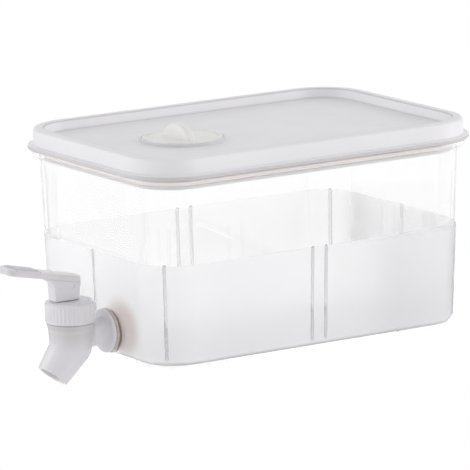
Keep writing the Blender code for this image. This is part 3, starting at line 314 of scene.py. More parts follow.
@dataclass(frozen=True)
class TubPlastic(Finish):
    """Clear moulded plastic whose lower band is frosted.

    The mesh carries four values: frost on the frosted band, flank on the ribs and at the rim bead's foot,
    sole on the bottom's rounding and bead on the rim. Flank and sole lay painted shade, the frosted band takes
    painted shade where it turns away from the eye, and a painted shadow of the tap's nut darkens it near the
    tap. Clear wall lets most rays straight through, and its silhouettes get a painted dark edge.
    """

    name: str = "tub_plastic"
    clear: Colour = (0.97, 0.97, 0.98)
    frosted: Colour = (0.93, 0.923, 0.935)
    cloudy: float = 0.98
    # painted shade on the ribs, and a painted dark line at the rim bead's foot
    rib_shade: Colour = (0.44, 0.435, 0.46)
    # painted dark edge where clear wall turns side-on to the eye
    rim_shade: Colour = (0.42, 0.42, 0.50)
    rim_share: float = 0.7
    rim_turn: tuple[float, float] = (0.66, 0.88)
    # painted shade where the frosted band turns away from the eye
    lee_shade: Colour = (0.66, 0.655, 0.675)
    lee_share: float = 0.78
    lee_turn: tuple[float, float] = (0.40, 0.80)
    # painted shadow of the tap's nut, seen dark and blurred through the frosted wall
    nut_shadow: Colour = (0.56, 0.46, 0.41)
    nut_shadow_at: tuple[float, float, float] = (-0.1085, -0.029, 0.0185)
    nut_shadow_radius: float = 0.022
    ior: float = 1.46
    clear_roughness: float = 0.03
    frost_roughness: float = 0.45
    milk: Colour = (0.96, 0.955, 0.96)
    speck: Colour = (0.6, 0.6, 0.62)
    milkiness: float = 0.10
    # painted shade on the bottom's rounding
    sole_shade: Colour = (0.47, 0.46, 0.47)
    sole_milkiness: float = 0.85
    openness: float = 0.92
    shadow_openness: float = 0.85
    frost_shadow: float = 0.35

    def tint(self, sheet: Sheet, frost: Value, facing: Value, clouds: Value) -> bpy.types.NodeSocket:
        """The colour of the wall: clear above, and frosted below, with painted shade where the band turns away
        from the eye and a painted, blurred shadow of the tap's nut.

        Args:
            sheet: the material's sheet.
            frost: 1 on the frosted band.
            facing: 0 where the wall faces the eye and 1 at a silhouette.
            clouds: slow noise.

        Returns:
            The colour's socket.
        """
        duller = tuple(part * self.cloudy for part in self.frosted)
        band = sheet.blend(clouds.above(0.35, 0.7) * 0.5, self.frosted, duller)
        # painted shade where the frosted band turns away from the eye
        band = sheet.blend(facing.above(*self.lee_turn) * frost * self.lee_share, band, self.lee_shade)
        # painted shadow of the nut: a soft brown patch round a point in the wall
        ends = {0: sheet.place(), 1: self.nut_shadow_at}
        from_nut = sheet.value("VectorMath", "Value", ends, operation="DISTANCE")
        near = 1 - from_nut.above(self.nut_shadow_radius * 0.45, self.nut_shadow_radius)
        return sheet.blend(frost, self.clear, sheet.blend(near, band, self.nut_shadow))

    def surface(self, sheet: Sheet) -> bpy.types.NodeSocket:
        """The shader: glass with a share of milk in it, mixed with open air.

        Args:
            sheet: the material's sheet.

        Returns:
            The shader's socket.
        """
        frost, flank, sole, bead = map(sheet.attribute, ("frost", "flank", "sole", "bead"))
        clouds = sheet.noise(0.05, 3)
        facing = sheet.value("LayerWeight", "Facing", {"Blend": 0.5})
        # painted dark edge on clear wall at its silhouettes
        edge = facing.above(*self.rim_turn) * (1 - frost) * (1 - bead)
        # painted shade: the flank values darken the ribs and the bead's foot
        walled = sheet.blend(flank, self.tint(sheet, frost, facing, clouds), self.rib_shade)
        relief = sheet.bump(sheet.noise(0.0005, 2) * frost + sheet.noise(0.02, 1) * 0.4, 0.00003, 0.6)
        glass = sheet.shader("BsdfPrincipled", {
            "Base Color": sheet.blend(edge * self.rim_share, walled, self.rim_shade),
            "Roughness": self.clear_roughness + frost * (self.frost_roughness + (clouds - 0.5) * 0.15),
            "IOR": self.ior,
            "Transmission Weight": 1.0,
            "Normal": relief,
        })
        specks = 1 - sheet.noise(0.0022, 1).above(0.2, 0.23)
        milky = sheet.blend(specks * 0.3, self.milk, self.speck)
        # painted shade: the milk turns dark grey on the bottom's rounding
        milk = sheet.shader("BsdfPrincipled", {
            "Base Color": sheet.blend(sole, milky, self.sole_shade),
            "Roughness": 0.5,
            "IOR": self.ior,
            "Normal": relief,
        })
        body = sheet.mixed(frost * self.milkiness + sole * self.sole_milkiness, glass, milk)
        through = (1 - frost) * (1 - flank.above(0.05, 0.4)) * (1 - edge) * self.openness
        shadow = sheet.ray("Shadow") * (self.shadow_openness - frost * self.frost_shadow)
        return sheet.mixed(shadow.math("MAXIMUM", through), body, sheet.shader("BsdfTransparent"))


@dataclass(frozen=True)
class SoftRubber(Finish):
    """Translucent silicone with a dusty skin, and an optional glow that is painted light."""

    name: str = "silicone_rubber"
    colour: Colour = (0.78, 0.77, 0.76)
    # painted light: an emission that lifts the rubber where it sits in shade
    glow: float = 0.0
    dusty: Colour = (0.88, 0.88, 0.88)

    def surface(self, sheet: Sheet) -> bpy.types.NodeSocket:
        """The shader of the surface.

        Args:
            sheet: the material's sheet.

        Returns:
            The shader's socket.
        """
        dust = sheet.noise(0.003, 4)
        return sheet.shader("BsdfPrincipled", {
            "Base Color": sheet.blend(dust.above(0.4, 0.75) * 0.5, self.colour, self.dusty),
            "Roughness": 0.5 + (dust - 0.5) * 0.3,
            "Subsurface Weight": 0.2,
            "Subsurface Scale": 0.002,
            # painted light: the glow
            "Emission Color": self.colour,
            "Emission Strength": self.glow,
            "Normal": sheet.bump(dust, 0.00002, 0.4),
        })


@dataclass(frozen=True)
class DrawnSteel(Finish):
    """Drawn spring wire."""

    name: str = "spring_wire"
    colour: Colour = (0.60, 0.60, 0.62)
    streak: Colour = (0.45, 0.45, 0.47)

    def surface(self, sheet: Sheet) -> bpy.types.NodeSocket:
        """The shader of the surface.

        Args:
            sheet: the material's sheet.

        Returns:
            The shader's socket.
        """
        streaks = sheet.noise(0.0008, 3, (1, 1, 0.3))
        return sheet.shader("BsdfPrincipled", {
            "Base Color": sheet.blend(streaks * 0.5, self.colour, self.streak),
            "Metallic": 1.0,
            "Roughness": 0.25 + streaks * 0.15,
            "Normal": sheet.bump(streaks, 0.00001, 0.4),
        })


# Surfaces worked out as arrays


def ramp(values: Any, low: float, high: float) -> Any:
    """0 at low, 1 at high and straight between them."""
    return np.clip((values - low) / (high - low), 0, 1)


def signed_power(values: np.ndarray, power: float) -> np.ndarray:
    """The size of each value to a power, with the value's sign."""
    return np.sign(values) * np.abs(values) ** power


def filleted(corners: Sequence[Corner], steps: int = 5) -> np.ndarray:
    """Rounds the corners of an open outline with circular arcs.

    Each corner gives (first, second, radius). An arc touches both sides of its corner at the distance
    radius times the tangent of half the turn, and a turn's centre lies on the corner's bisector.

    Args:
        corners: the outline's corners with their radii.
        steps: pieces that each arc has.

    Returns:
        The outline's points, as rows of two numbers.
    """
    spots = np.array([corner[:2] for corner in corners], float)
    pieces = [spots[:1]]
    for index in range(1, len(corners) - 1):
        radius, here = corners[index][2], spots[index]
        back, ahead = spots[index - 1] - here, spots[index + 1] - here
        back_length, ahead_length = np.linalg.norm(back), np.linalg.norm(ahead)
        back, ahead = back / back_length, ahead / ahead_length
        opening = math.acos(float(np.clip(back @ ahead, -1, 1)))
        if radius <= 0 or opening > math.pi - 0.01:
            pieces.append(here[None])
            continue
        reach = min(radius / math.tan(opening / 2), 0.48 * back_length, 0.48 * ahead_length)
        bisector = (back + ahead) / np.linalg.norm(back + ahead)
        centre = here + bisector * reach / math.cos(opening / 2)
        start, end = here + back * reach - centre, here + ahead * reach - centre
        angles = np.linspace(0, math.atan2(start[0] * end[1] - start[1] * end[0], start @ end), steps + 1)
        across = np.array((-start[1], start[0]))
        pieces.append(centre + np.outer(np.cos(angles), start) + np.outer(np.sin(angles), across))
    return np.concatenate(pieces + [spots[-1:]])


def outline_between(marks: Sequence[float], step: float) -> np.ndarray:
    """Positions through all the marks in order of size, with none further apart than the step.

    Args:
        marks: positions that have to be there.
        step: the widest step allowed.

    Returns:
        The positions.
    """
    spots = sorted(set(marks))
    spans = [
        np.linspace(low, high, max(1, math.ceil((high - low) / step)) + 1)[:-1]
        for low, high in zip(spots[:-1], spots[1:])
    ]
    return np.concatenate(spans + [np.array(spots[-1:])])


@dataclass
class RoundedRectangle:
    """A rectangle with round corners, as stations that each have a point and an outward direction."""

    half_length: float
    half_width: float
    corner: float
    marks_long: Sequence[float] = ()
    marks_end: Sequence[float] = ()
    marks_turn: Sequence[float] = ()
    step: float = 0.012
    turn_step: float = math.radians(4.5)
    points: np.ndarray = field(init=False)
    normals: np.ndarray = field(init=False)

    def __post_init__(self) -> None:
        """Lays the stations anticlockwise: on a corner they turn about its centre, on a side they go ahead."""
        run = np.array((self.half_length, self.half_width)) - self.corner
        turn = outline_between((0.0, math.pi / 2, *self.marks_turn), self.turn_step)
        along = outline_between((-run[0], run[0], *self.marks_long), self.step)[1:-1]
        across = outline_between((-run[1], run[1], *self.marks_end), self.step)[1:-1]
        sides = ((self.half_width, along), (self.half_length, across)) * 2
        points, normals = [], []
        for quarter, (signs, (reach, slide)) in enumerate(zip(((1, 1), (-1, 1), (-1, -1), (1, -1)), sides)):
            angles = turn + quarter * math.pi / 2
            outward = np.column_stack((np.cos(angles), np.sin(angles)))
            facing = outward[-1]
            ahead = np.array((-facing[1], facing[0]))
            points += [run * signs + self.corner * outward, facing * reach + slide[:, None] * ahead]
            normals += [outward, np.repeat(facing[None], len(slide), axis=0)]
        self.points = np.concatenate(points)
        self.normals = np.concatenate(normals)

    def carry(self, profile: np.ndarray, swell: Union[np.ndarray, float] = 0.0) -> np.ndarray:
        """Carries a profile of (inset, height) rows round the outline.

        A surface point is the station's point, less the inset along the station's outward direction.

        Args:
            profile: rows of inset and height.
            swell: how far each surface point stands out further, as rows by stations.

        Returns:
            Points as rows by stations by three.
        """
        inset = np.repeat(profile[:, :1], len(self.points), axis=1) - swell
        flat = self.points - inset[..., None] * self.normals
        height = np.broadcast_to(profile[:, 1:], inset.shape)
        return np.concatenate((flat, height[..., None]), axis=2)


def turned_points(profile: np.ndarray, steps: int, wave: Union[np.ndarray, float] = 0.0) -> np.ndarray:
    """Turns a profile of (radius, height) rows about the up axis.

    Args:
        profile: rows of radius and height.
        steps: stations round the axis.
        wave: what is added to the radius, as rows by stations.

    Returns:
        Points as rows by stations by three: radius times the cosine and sine of the angle, and the height.
    """
    angle = np.arange(steps) * TURN / steps
    radius = np.repeat(profile[:, :1], steps, axis=1) + wave
    height = np.repeat(profile[:, 1:], steps, axis=1)
    return np.stack((radius * np.cos(angle), radius * np.sin(angle), height), axis=2)


def stand(points: np.ndarray, at: Sequence[float], axis: Axis = Axis.UP) -> np.ndarray:
    """Turns points from the up axis to another and moves them to their place.

    Args:
        points: points about the up axis.
        at: their place.
        axis: the direction that their heights run in.

    Returns:
        The points in place.
    """
    x, y, z = points[..., 0], points[..., 1], points[..., 2]
    if axis is Axis.INTO_JUG:
        points = np.stack((z, y, -x), axis=-1)
    elif axis is Axis.ACROSS:
        points = np.stack((x, z, -y), axis=-1)
    return points + np.array(at, float)


# Meshes


def put(name: str, data: Any) -> bpy.types.Object:
    """A new object in the scene for a mesh, a lamp or a camera.

    Args:
        name: the object's name.
        data: what it shows.

    Returns:
        The object.
    """
    obj = bpy.data.objects.new(name, data)
    bpy.context.scene.collection.objects.link(obj)
    return obj


def paint(mesh: bpy.types.Mesh, name: str, values: np.ndarray) -> None:
    """Stores a value for each vertex under a name that a material can read."""
    layer = mesh.attributes.get(name) or mesh.attributes.new(name, "FLOAT", "POINT")
    layer.data.foreach_set("value", values.astype(np.float32))


def vectors(mesh: bpy.types.Mesh, kind: str = "co") -> np.ndarray:
    """The places or the normals of a mesh's vertices, as rows of x, y and z.

    Args:
        mesh: the mesh.
        kind: co for places, or normal.

    Returns:
        The rows.
    """
    numbers = np.empty(len(mesh.vertices) * 3)
    mesh.vertices.foreach_get(kind, numbers)
    return numbers.reshape(-1, 3)


def face_outwards(mesh: bpy.types.Mesh, sharp: float = 40.0) -> bpy.types.Mesh:
    """Merges doubles, turns the faces outwards and shades smooth below an angle.

    Args:
        mesh: the mesh, changed in place.
        sharp: the angle in degrees past which an edge stays sharp.

    Returns:
        The same mesh.
    """
    work = bmesh.new()
    work.from_mesh(mesh)
    bmesh.ops.remove_doubles(work, verts=work.verts, dist=TINY)
    bmesh.ops.recalc_face_normals(work, faces=work.faces)
    work.to_mesh(mesh)
    work.free()
    mesh.shade_smooth()
    mesh.set_sharp_from_angle(angle=math.radians(sharp))
    return mesh


def skin(name: str, points: np.ndarray, ring: bool = False, values: Optional[dict[str, np.ndarray]] = None,
         sharp: float = 40.0) -> bpy.types.Mesh:
    """A closed mesh over a grid of points whose stations go right round.

    Quads join each row to the next. The first and last rows close on their middle points, or on each other.

    Args:
        name: the mesh's name.
        points: rows by stations by three.
        ring: whether the last row joins the first.
        values: numbers at the grid's points that the mesh carries, by name.
        sharp: the angle in degrees past which an edge stays sharp.

    Returns:
        The mesh, smooth shaded and facing outwards.
    """
    rows, stations = points.shape[:2]
    number = np.arange(rows * stations).reshape(rows, stations)
    here, above = (number, np.roll(number, -1, axis=0)) if ring else (number[:-1], number[1:])
    quads = np.stack((here, np.roll(here, -1, 1), np.roll(above, -1, 1), above), axis=-1)
    faces = quads.reshape(-1, 4).tolist()
    spots = points.reshape(-1, 3)
    carried = {key: value.reshape(-1) for key, value in (values or {}).items()}
    if not ring:
        middle = np.full(stations, rows * stations)
        low = np.stack((np.roll(number[0], -1), number[0], middle), axis=-1)
        high = np.stack((number[-1], np.roll(number[-1], -1), middle + 1), axis=-1)
        faces += np.concatenate((low, high)).tolist()
        spots = np.concatenate((spots, points[:1].mean(axis=1), points[-1:].mean(axis=1)))
        carried = {key: np.append(value, (value[0], value[-1])) for key, value in carried.items()}
    mesh = bpy.data.meshes.new(name)
    mesh.from_pydata(spots.tolist(), [], faces)
    for key, value in carried.items():
        paint(mesh, key, value)
    return face_outwards(mesh, sharp)


def turned(name: str, corners: Sequence[Corner], at: Sequence[float], axis: Axis = Axis.UP, steps: int = 96,
           ring: bool = False) -> bpy.types.Mesh:
    """A turned solid from the corners of its profile.

    Args:
        name: the mesh's name.
        corners: (radius, height, corner radius) of each corner.
        at: where the profile's zero stands.
        axis: the direction of the profile's heights.
        steps: stations round the axis.
        ring: whether the profile closes on itself, away from the axis.

    Returns:
        The mesh.
    """
    outline = filleted(corners, 4)
    if ring:
        start = (*np.mean([corner[:2] for corner in corners[:2]], axis=0), 0.0)
        outline = filleted([start, *corners[1:], corners[0], start], 4)[:-1]
    return skin(name, stand(turned_points(outline, steps), at, axis), ring)


def rod(name: str, radius: float, ends: tuple[float, float], at: Sequence[float], axis: Axis = Axis.UP,
        rounds: tuple[float, float] = (0.0, 0.0), steps: int = 96, core: float = CORE) -> bpy.types.Mesh:
    """A cylinder.

    Args:
        name: the mesh's name.
        radius: its radius.
        ends: the heights that it runs between.
        at: where the heights' zero stands.
        axis: the direction of the heights.
        rounds: how far the edge at each end is rounded.
        steps: stations round the axis.
        core: the radius of the first ring of points on its ends.

    Returns:
        The mesh.
    """
    low, high = ends
    corners = [(core, low, 0), (radius, low, rounds[0]), (radius, high, rounds[1]), (core, high, 0)]
    return turned(name, corners, at, axis, steps)


def soft_ring(name: str, radius: float, height: float, wire: float, at: Sequence[float], steps: int) -> bpy.types.Mesh:
    """A round ring: a circle of the wire's radius, turned about the up axis at a radius and a height.

    Args:
        name: the mesh's name.
        radius: the radius of the circle's path.
        height: the height of the path.
        wire: the circle's own radius.
        at: where the heights' zero stands.
        steps: stations round the axis.

    Returns:
        The mesh.
    """
    angle = np.arange(16) * -TURN / 16
    section = np.column_stack((radius + wire * np.cos(angle), height + wire * np.sin(angle)))
    return skin(name, stand(turned_points(section, steps), at), ring=True)


def block(name: str, low: Vector, high: Vector) -> bpy.types.Mesh:
    """A box between its low and its high corner.

    Args:
        name: the mesh's name.
        low: its low corner.
        high: its high corner.

    Returns:
        The mesh.
    """
    mesh = bpy.data.meshes.new(name)
    work = bmesh.new()
    place = Matrix.Translation((low + high) / 2) @ Matrix.Diagonal((*(high - low), 1))
    bmesh.ops.create_cube(work, size=1, matrix=place)
    work.to_mesh(mesh)
    work.free()
    return mesh


def evaluated(obj: bpy.types.Object, sharp: float) -> bpy.types.Mesh:
    """The mesh of an object after its modifiers, facing outwards, with the object removed.

    Args:
        obj: the object, removed afterwards.
        sharp: the angle in degrees past which an edge stays sharp.

    Returns:
        The mesh.
    """
    bpy.context.view_layer.update()
    graph = bpy.context.evaluated_depsgraph_get()
    mesh = bpy.data.meshes.new_from_object(obj.evaluated_get(graph), depsgraph=graph)
    bpy.data.objects.remove(obj)
    return face_outwards(mesh, sharp)


def combined(base: bpy.types.Mesh, *steps: tuple[bpy.types.Mesh, Cut], sharp: float = 40.0) -> bpy.types.Mesh:
    """Joins solids to a mesh and cuts solids from it, in order.

    Args:
        base: the mesh to start from.
        steps: each further mesh, with how it is joined.
        sharp: the angle in degrees past which an edge stays sharp.

    Returns:
        The new mesh.
    """
    work = put("work", base)
    tools = [put("tool", mesh) for mesh, _ in steps]
    for tool, (_, how) in zip(tools, steps):
        modifier = work.modifiers.new(tool.name, "BOOLEAN")
        modifier.operation = how.value
        modifier.solver = "EXACT"
        modifier.object = tool
    mesh = evaluated(work, sharp)
    for tool in tools:
        bpy.data.objects.remove(tool)
    return mesh


def melted(mesh: bpy.types.Mesh, voxel: float, rounds: int) -> bpy.types.Mesh:
    """Rebuilds a joined mesh in small even faces and relaxes them, which rounds its edges as a mould does.

    Args:
        mesh: the closed mesh.
        voxel: the size of the new faces.
        rounds: how many times the points are relaxed.

    Returns:
        The new mesh.
    """
    work = put("work", mesh)
    remesh = work.modifiers.new("remesh", "REMESH")
    remesh.mode = "VOXEL"
    remesh.voxel_size = voxel
    remesh.use_smooth_shade = True
    relax = work.modifiers.new("relax", "SMOOTH")
    relax.factor = 0.5
    relax.iterations = rounds
    return evaluated(work, 75.0)


def show(name: str, mesh: bpy.types.Mesh, finish: Finish, body: Body, slot: Slot, *nodes: str) -> bpy.types.Object:
    """Puts a finished mesh in the scene as a piece that rides on a body.

    Args:
        name: the piece's name.
        mesh: its mesh, in place.
        finish: what it is made of.
        body: what it moves with.
        slot: the record's material slot for the piece; not used.
        nodes: the model's nodes that it stands for.

    Returns:
        The piece.
    """
    piece = put(name, mesh)
    mesh.materials.clear()
    mesh.materials.append(finish.build())
    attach(piece, body.value)
    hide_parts(*nodes)
    log.info("%s: %d faces on %s", name, len(mesh.polygons), body.value)
    return piece


# The jug


@dataclass
class JugOutline:
    """Sizes that the tub and the lid share: the lid's edge seen from above, and the tub's leaning wall."""

    half_length: float = 0.120
    half_width: float = 0.083
    corner: float = 0.035
    rim_inset: float = 0.0026
    wall_inset: float = 0.0070
    wall_top: float = 0.1085
    lean: float = 0.039
    wall: float = 0.0022
    flat_inset: float = 0.034

    def outside(self, height: Any) -> Any:
        """How far the tub's outer wall stands in from the lid's edge at a height."""
        return self.wall_inset + self.lean * (self.wall_top - height)

    def inside(self, height: Any) -> Any:
        """How far the tub's inner wall stands in from the lid's edge at a height."""
        return self.outside(height) + self.wall

    def path(self, **marks: Any) -> RoundedRectangle:
        """The lid's edge as stations."""
        return RoundedRectangle(self.half_length, self.half_width, self.corner, **marks)


@dataclass
class TapPlace:
    """Where the tap stands: its valve's axis, its inlet's height and the faces that it seats on."""

    x: float = -0.136434
    y: float = -0.014
    inlet: float = 0.0145
    boss_face: float = -0.110334
    shoulder_back: float = -0.112234
    spotface: float = -0.107634
    pin: float = 0.0448
    stem_travel: float = 0.002827

    def inlet_point(self) -> tuple[float, float, float]:
        """The zero of lengths along the inlet: they are then the model's own X."""
        return (0.0, self.y, self.inlet)

    def valve_point(self) -> tuple[float, float, float]:
        """The zero of heights along the valve."""
        return (self.x, self.y, 0.0)

    def pin_point(self) -> tuple[float, float, float]:
        """The middle of the hinge pin."""
        return (self.x, self.y, self.pin)


@dataclass
class Tub:
    """The clear tub, with its frosted band, ribs, rim bead, feet and the boss for the tap."""

    outline: JugOutline
    place: TapPlace
    finish: TubPlastic = TubPlastic()
    rim_top: float = 0.1122
    floor: float = 0.0022
    knee: float = 0.0222
    bottom_round: float = 0.005
    frost_top: float = 0.0605
    frost_step: float = 0.00025
    frost_foot: float = 0.0003
    rib_radius: float = 0.00125
    rib_proud: float = 0.0007
    rib_top: float = 0.0615
    rib_bottom: float = 0.0036
    rib_pair: float = 0.0048
    # how much the painted rib shade pales on a rib's crest, and how dark the painted line at the bead's foot is
    rib_paling: float = 0.25
    bead_shade: float = 0.6
    foot_inset: float = 0.0024
    foot_width: float = 0.006
    foot_height: float = 0.0035
    foot_edge: float = 0.0006
    foot_sunk: float = 0.0012
    foot_legs: tuple[float, float] = (0.045, 0.034)
    boss_radius: float = 0.0136
    boss_depth: float = 0.004
    boss_round: float = 0.0005
    hole_radius: float = 0.0081
    nut_radius: float = 0.0117
    sharp: float = 28.0

    def rib_lines(self) -> list[tuple[np.ndarray, np.ndarray]]:
        """Each rib's point on the lid's edge outline and its outward direction: ends, long sides, corners.

        Returns:
            A point and a direction for each of the ten ribs.
        """
        shape = self.outline
        run = np.array((shape.half_length, shape.half_width)) - shape.corner
        lines = []
        for side in (1, -1):
            lines.append((np.array((side * shape.half_length, 0.0)), np.array((side, 0.0))))
            for along in (1, -1):
                lines.append((np.array((along * self.rib_pair, side * shape.half_width)), np.array((0.0, side))))
                slant = np.array((along, side)) / math.sqrt(2)
                lines.append((run * (along, side) + shape.corner * slant, slant))
        return lines

    def stations(self) -> RoundedRectangle:
        """The outline's stations, close together across each rib.

        Returns:
            The outline.
        """
        edge = math.sqrt(self.rib_radius**2 - (self.rib_radius - self.rib_proud) ** 2)
        half = np.array((0.4, 0.7, 0.88, 0.97, 1.0, 1.12, 1.6))
        offsets = np.concatenate((-half[::-1], (0.0,), half)) * edge
        turns = offsets / (self.outline.corner - self.outline.outside(self.frost_top / 2))
        pair = np.concatenate((offsets - self.rib_pair, offsets + self.rib_pair))
        return self.outline.path(marks_long=pair, marks_end=offsets, marks_turn=math.pi / 4 + turns)

    def rib_swell(self, wall: np.ndarray) -> np.ndarray:
        """How far the ribs stand out of the wall.

        A rib is a rod sunk in the wall: its height is the root of its radius squared less the distance
        across it squared, less how deep its axis lies. Past its ends that distance runs to the end's centre.

        Args:
            wall: the plain wall's points, as rows by stations by three.

        Returns:
            Heights as rows by stations, zero off the ribs.
        """
        height = wall[..., 2]
        past_top = np.maximum(0, height - (self.rib_top - self.rib_radius))
        past_foot = np.maximum(0, self.rib_bottom + self.rib_radius - height)
        swell = np.zeros(height.shape)
        for spot, outward in self.rib_lines():
            away = wall[..., :2] - spot
            aside = away @ np.array((-outward[1], outward[0]))
            room = self.rib_radius**2 - aside**2 - past_top**2 - past_foot**2
            rise = np.sqrt(np.maximum(0, room)) - (self.rib_radius - self.rib_proud)
            swell = np.where(np.abs(away @ outward) < 0.02, np.maximum(rise, swell), swell)
        return swell

    def profile(self) -> tuple[np.ndarray, int]:
        """The wall's profile, from the middle of the underside over the rim to the middle of the floor.

        Returns:
            Rows of inset and height, and how many of them lie below the rim bead on the outside.
        """
        shape = self.outline
        low = shape.outside(self.bottom_round) - self.frost_step
        under = [(shape.flat_inset, 0, 0), (low, 0, self.bottom_round), (low, self.bottom_round * 2, 0)]
        bend = filleted(under, 9)[:-1]
        frost_end = self.frost_top + self.frost_step
        levels = np.unique(np.round(np.concatenate((
            self.rib_bottom + self.rib_radius + np.array((0.0006, 0.002)),
            np.linspace(0.012, self.frost_top - 0.003, 7),
            self.rib_top - self.rib_radius * np.array((1.0, 0.7, 0.4, 0.15, 0.0)),
            (self.frost_top, frost_end, self.rib_top + 0.0004),
            np.linspace(self.rib_top + 0.004, shape.wall_top - 0.003, 5),
        )), 7))
        step = np.interp(levels, (self.frost_top, frost_end), (self.frost_step, 0))
        wall = np.column_stack((shape.outside(levels) - step, levels))
        knee = (shape.inside(self.knee), self.knee, 0)
        rim = filleted([
            (*wall[-1], 0), (shape.wall_inset, shape.wall_top, 0.0008), (shape.rim_inset, shape.wall_top, 0.0008),
            (shape.rim_inset, self.rim_top, 0.0011), (shape.inside(self.rim_top), self.rim_top, 0.0007), knee,
        ], 5)[1:]
        inside = filleted([
            knee, (shape.inside(self.floor), self.floor, self.bottom_round - shape.wall),
            (shape.flat_inset, self.floor, 0),
        ], 8)[1:]
        return np.concatenate((bend, wall, rim, inside)), len(bend) + len(wall)

    def shell(self) -> bpy.types.Mesh:
        """The tub's wall and floor as one skin, with the values that its finish reads.

        Returns:
            The mesh.
        """
        shape = self.outline
        profile, outer_rows = self.profile()
        inset, height = profile[:, :1], profile[:, 1:]
        outer = np.arange(len(profile))[:, None] < outer_rows
        stations = self.stations()
        swell = self.rib_swell(stations.carry(profile)) * outer
        # painted shade: flank darkens the ribs, paler on their crests, and lays a line at the bead's foot
        bead_foot = (np.abs(height - shape.wall_top) < 0.0004) & (inset < shape.rim_inset + 0.0007)
        ribs = np.where(swell > 0, 1 - self.rib_paling * swell / self.rib_proud, 0)
        # painted shade on the bottom's rounding, strongest low down
        bend = ramp(height, self.bottom_round * 0.77, self.bottom_round * 0.07)
        marks = {
            "frost": outer & (height <= self.frost_top) & (height > self.frost_foot) & (swell <= 0),
            "flank": np.maximum(ribs, bead_foot * self.bead_shade),
            "sole": outer * (height > 0.0001) * bend,
            "bead": height > shape.wall_top - 0.0002,
        }
        values = {name: np.broadcast_to(mark, swell.shape).astype(float) for name, mark in marks.items()}
        return skin("tub_shell", stations.carry(profile, swell), values=values, sharp=self.sharp)

    def foot(self, sign_x: int, sign_y: int) -> bpy.types.Mesh:
        """A corner's foot: a band with a rounded sole, carried round the corner and narrowed to round ends.

        Its half width shrinks near each end as the root of half the width squared less the distance squared.

        Args:
            sign_x: which end the foot is at.
            sign_y: which side the foot is at.

        Returns:
            The mesh.
        """
        shape = self.outline
        half = self.foot_width / 2
        radius = shape.corner - (shape.outside(0.0) + self.foot_inset + half)
        leg_x, leg_y = np.array(self.foot_legs) - radius - half
        arc = radius * math.pi / 2
        total = leg_x + arc + leg_y
        ends = half * (1 - np.cos(np.linspace(0, math.pi / 2, 9)))
        ends[0] = half * 0.002
        path = np.concatenate((ends, np.linspace(half * 1.5, total - half * 1.5, 30), total - ends[::-1]))
        angle = np.clip((path - leg_y) / radius, 0, math.pi / 2)
        outward = np.column_stack((np.cos(angle), np.sin(angle)))
        middle = np.array((shape.half_length, shape.half_width)) - shape.corner + radius * outward
        middle -= np.maximum(0, np.column_stack((path - leg_y - arc, leg_y - path)))
        past = np.maximum(0, half - np.minimum(path, total - path))
        width = np.sqrt(np.maximum(half**2 - past**2, (half * 0.05) ** 2))
        across = np.array((1, 1, 1, 0.9, 0.78))
        drop = np.array((self.foot_sunk, -self.frost_foot, self.foot_edge - self.foot_height,
                         self.foot_edge * 0.3 - self.foot_height, -self.foot_height))
        across, drop = np.concatenate((-across, across[::-1])), np.concatenate((drop, drop[::-1]))
        flat = middle[:, None] + (width[:, None] * across)[..., None] * outward[:, None]
        height = np.broadcast_to(drop, flat.shape[:2])
        points = np.concatenate((flat * (sign_x, sign_y), height[..., None]), axis=2)
        return skin(f"foot_{sign_x}_{sign_y}", points, values={"frost": np.zeros(height.shape)})

    def build(self) -> None:
        """Makes the tub: its shell, feet and boss joined, and bored for the tap."""
        at, face, seat = self.place.inlet_point(), self.place.boss_face, self.place.spotface
        boss = rod("tap_boss", self.boss_radius, (face, face + self.boss_depth), at, Axis.INTO_JUG,
                   (self.boss_round, 0))
        paint(boss, "frost", np.full(len(boss.vertices), 0.8))
        spot = rod("nut_seat", self.nut_radius, (seat, seat + self.boss_depth), at, Axis.INTO_JUG)
        hole = rod("shank_hole", self.hole_radius, (face - OVERRUN, seat + OVERRUN), at, Axis.INTO_JUG)
        feet = [(self.foot(x, y), Cut.ADD) for x in (1, -1) for y in (1, -1)]
        mesh = combined(self.shell(), *feet, (boss, Cut.ADD), (spot, Cut.REMOVE), (hole, Cut.REMOVE),
                        sharp=self.sharp)
        x, y, z = vectors(mesh).T
        from_axis = np.hypot(y - at[1], z - at[2])
        at_boss = (from_axis < self.boss_radius + 0.0008) & (x < seat - 0.0002)
        frost = np.empty(len(x), np.float32)
        mesh.attributes["frost"].data.foreach_get("value", frost)
        paint(mesh, "frost", np.where(at_boss | (np.abs(z) < 0.0005), 1.0, frost))
        show("jug_tub", mesh, self.finish, Body.JUG, Slot.CLEAR, "tub")


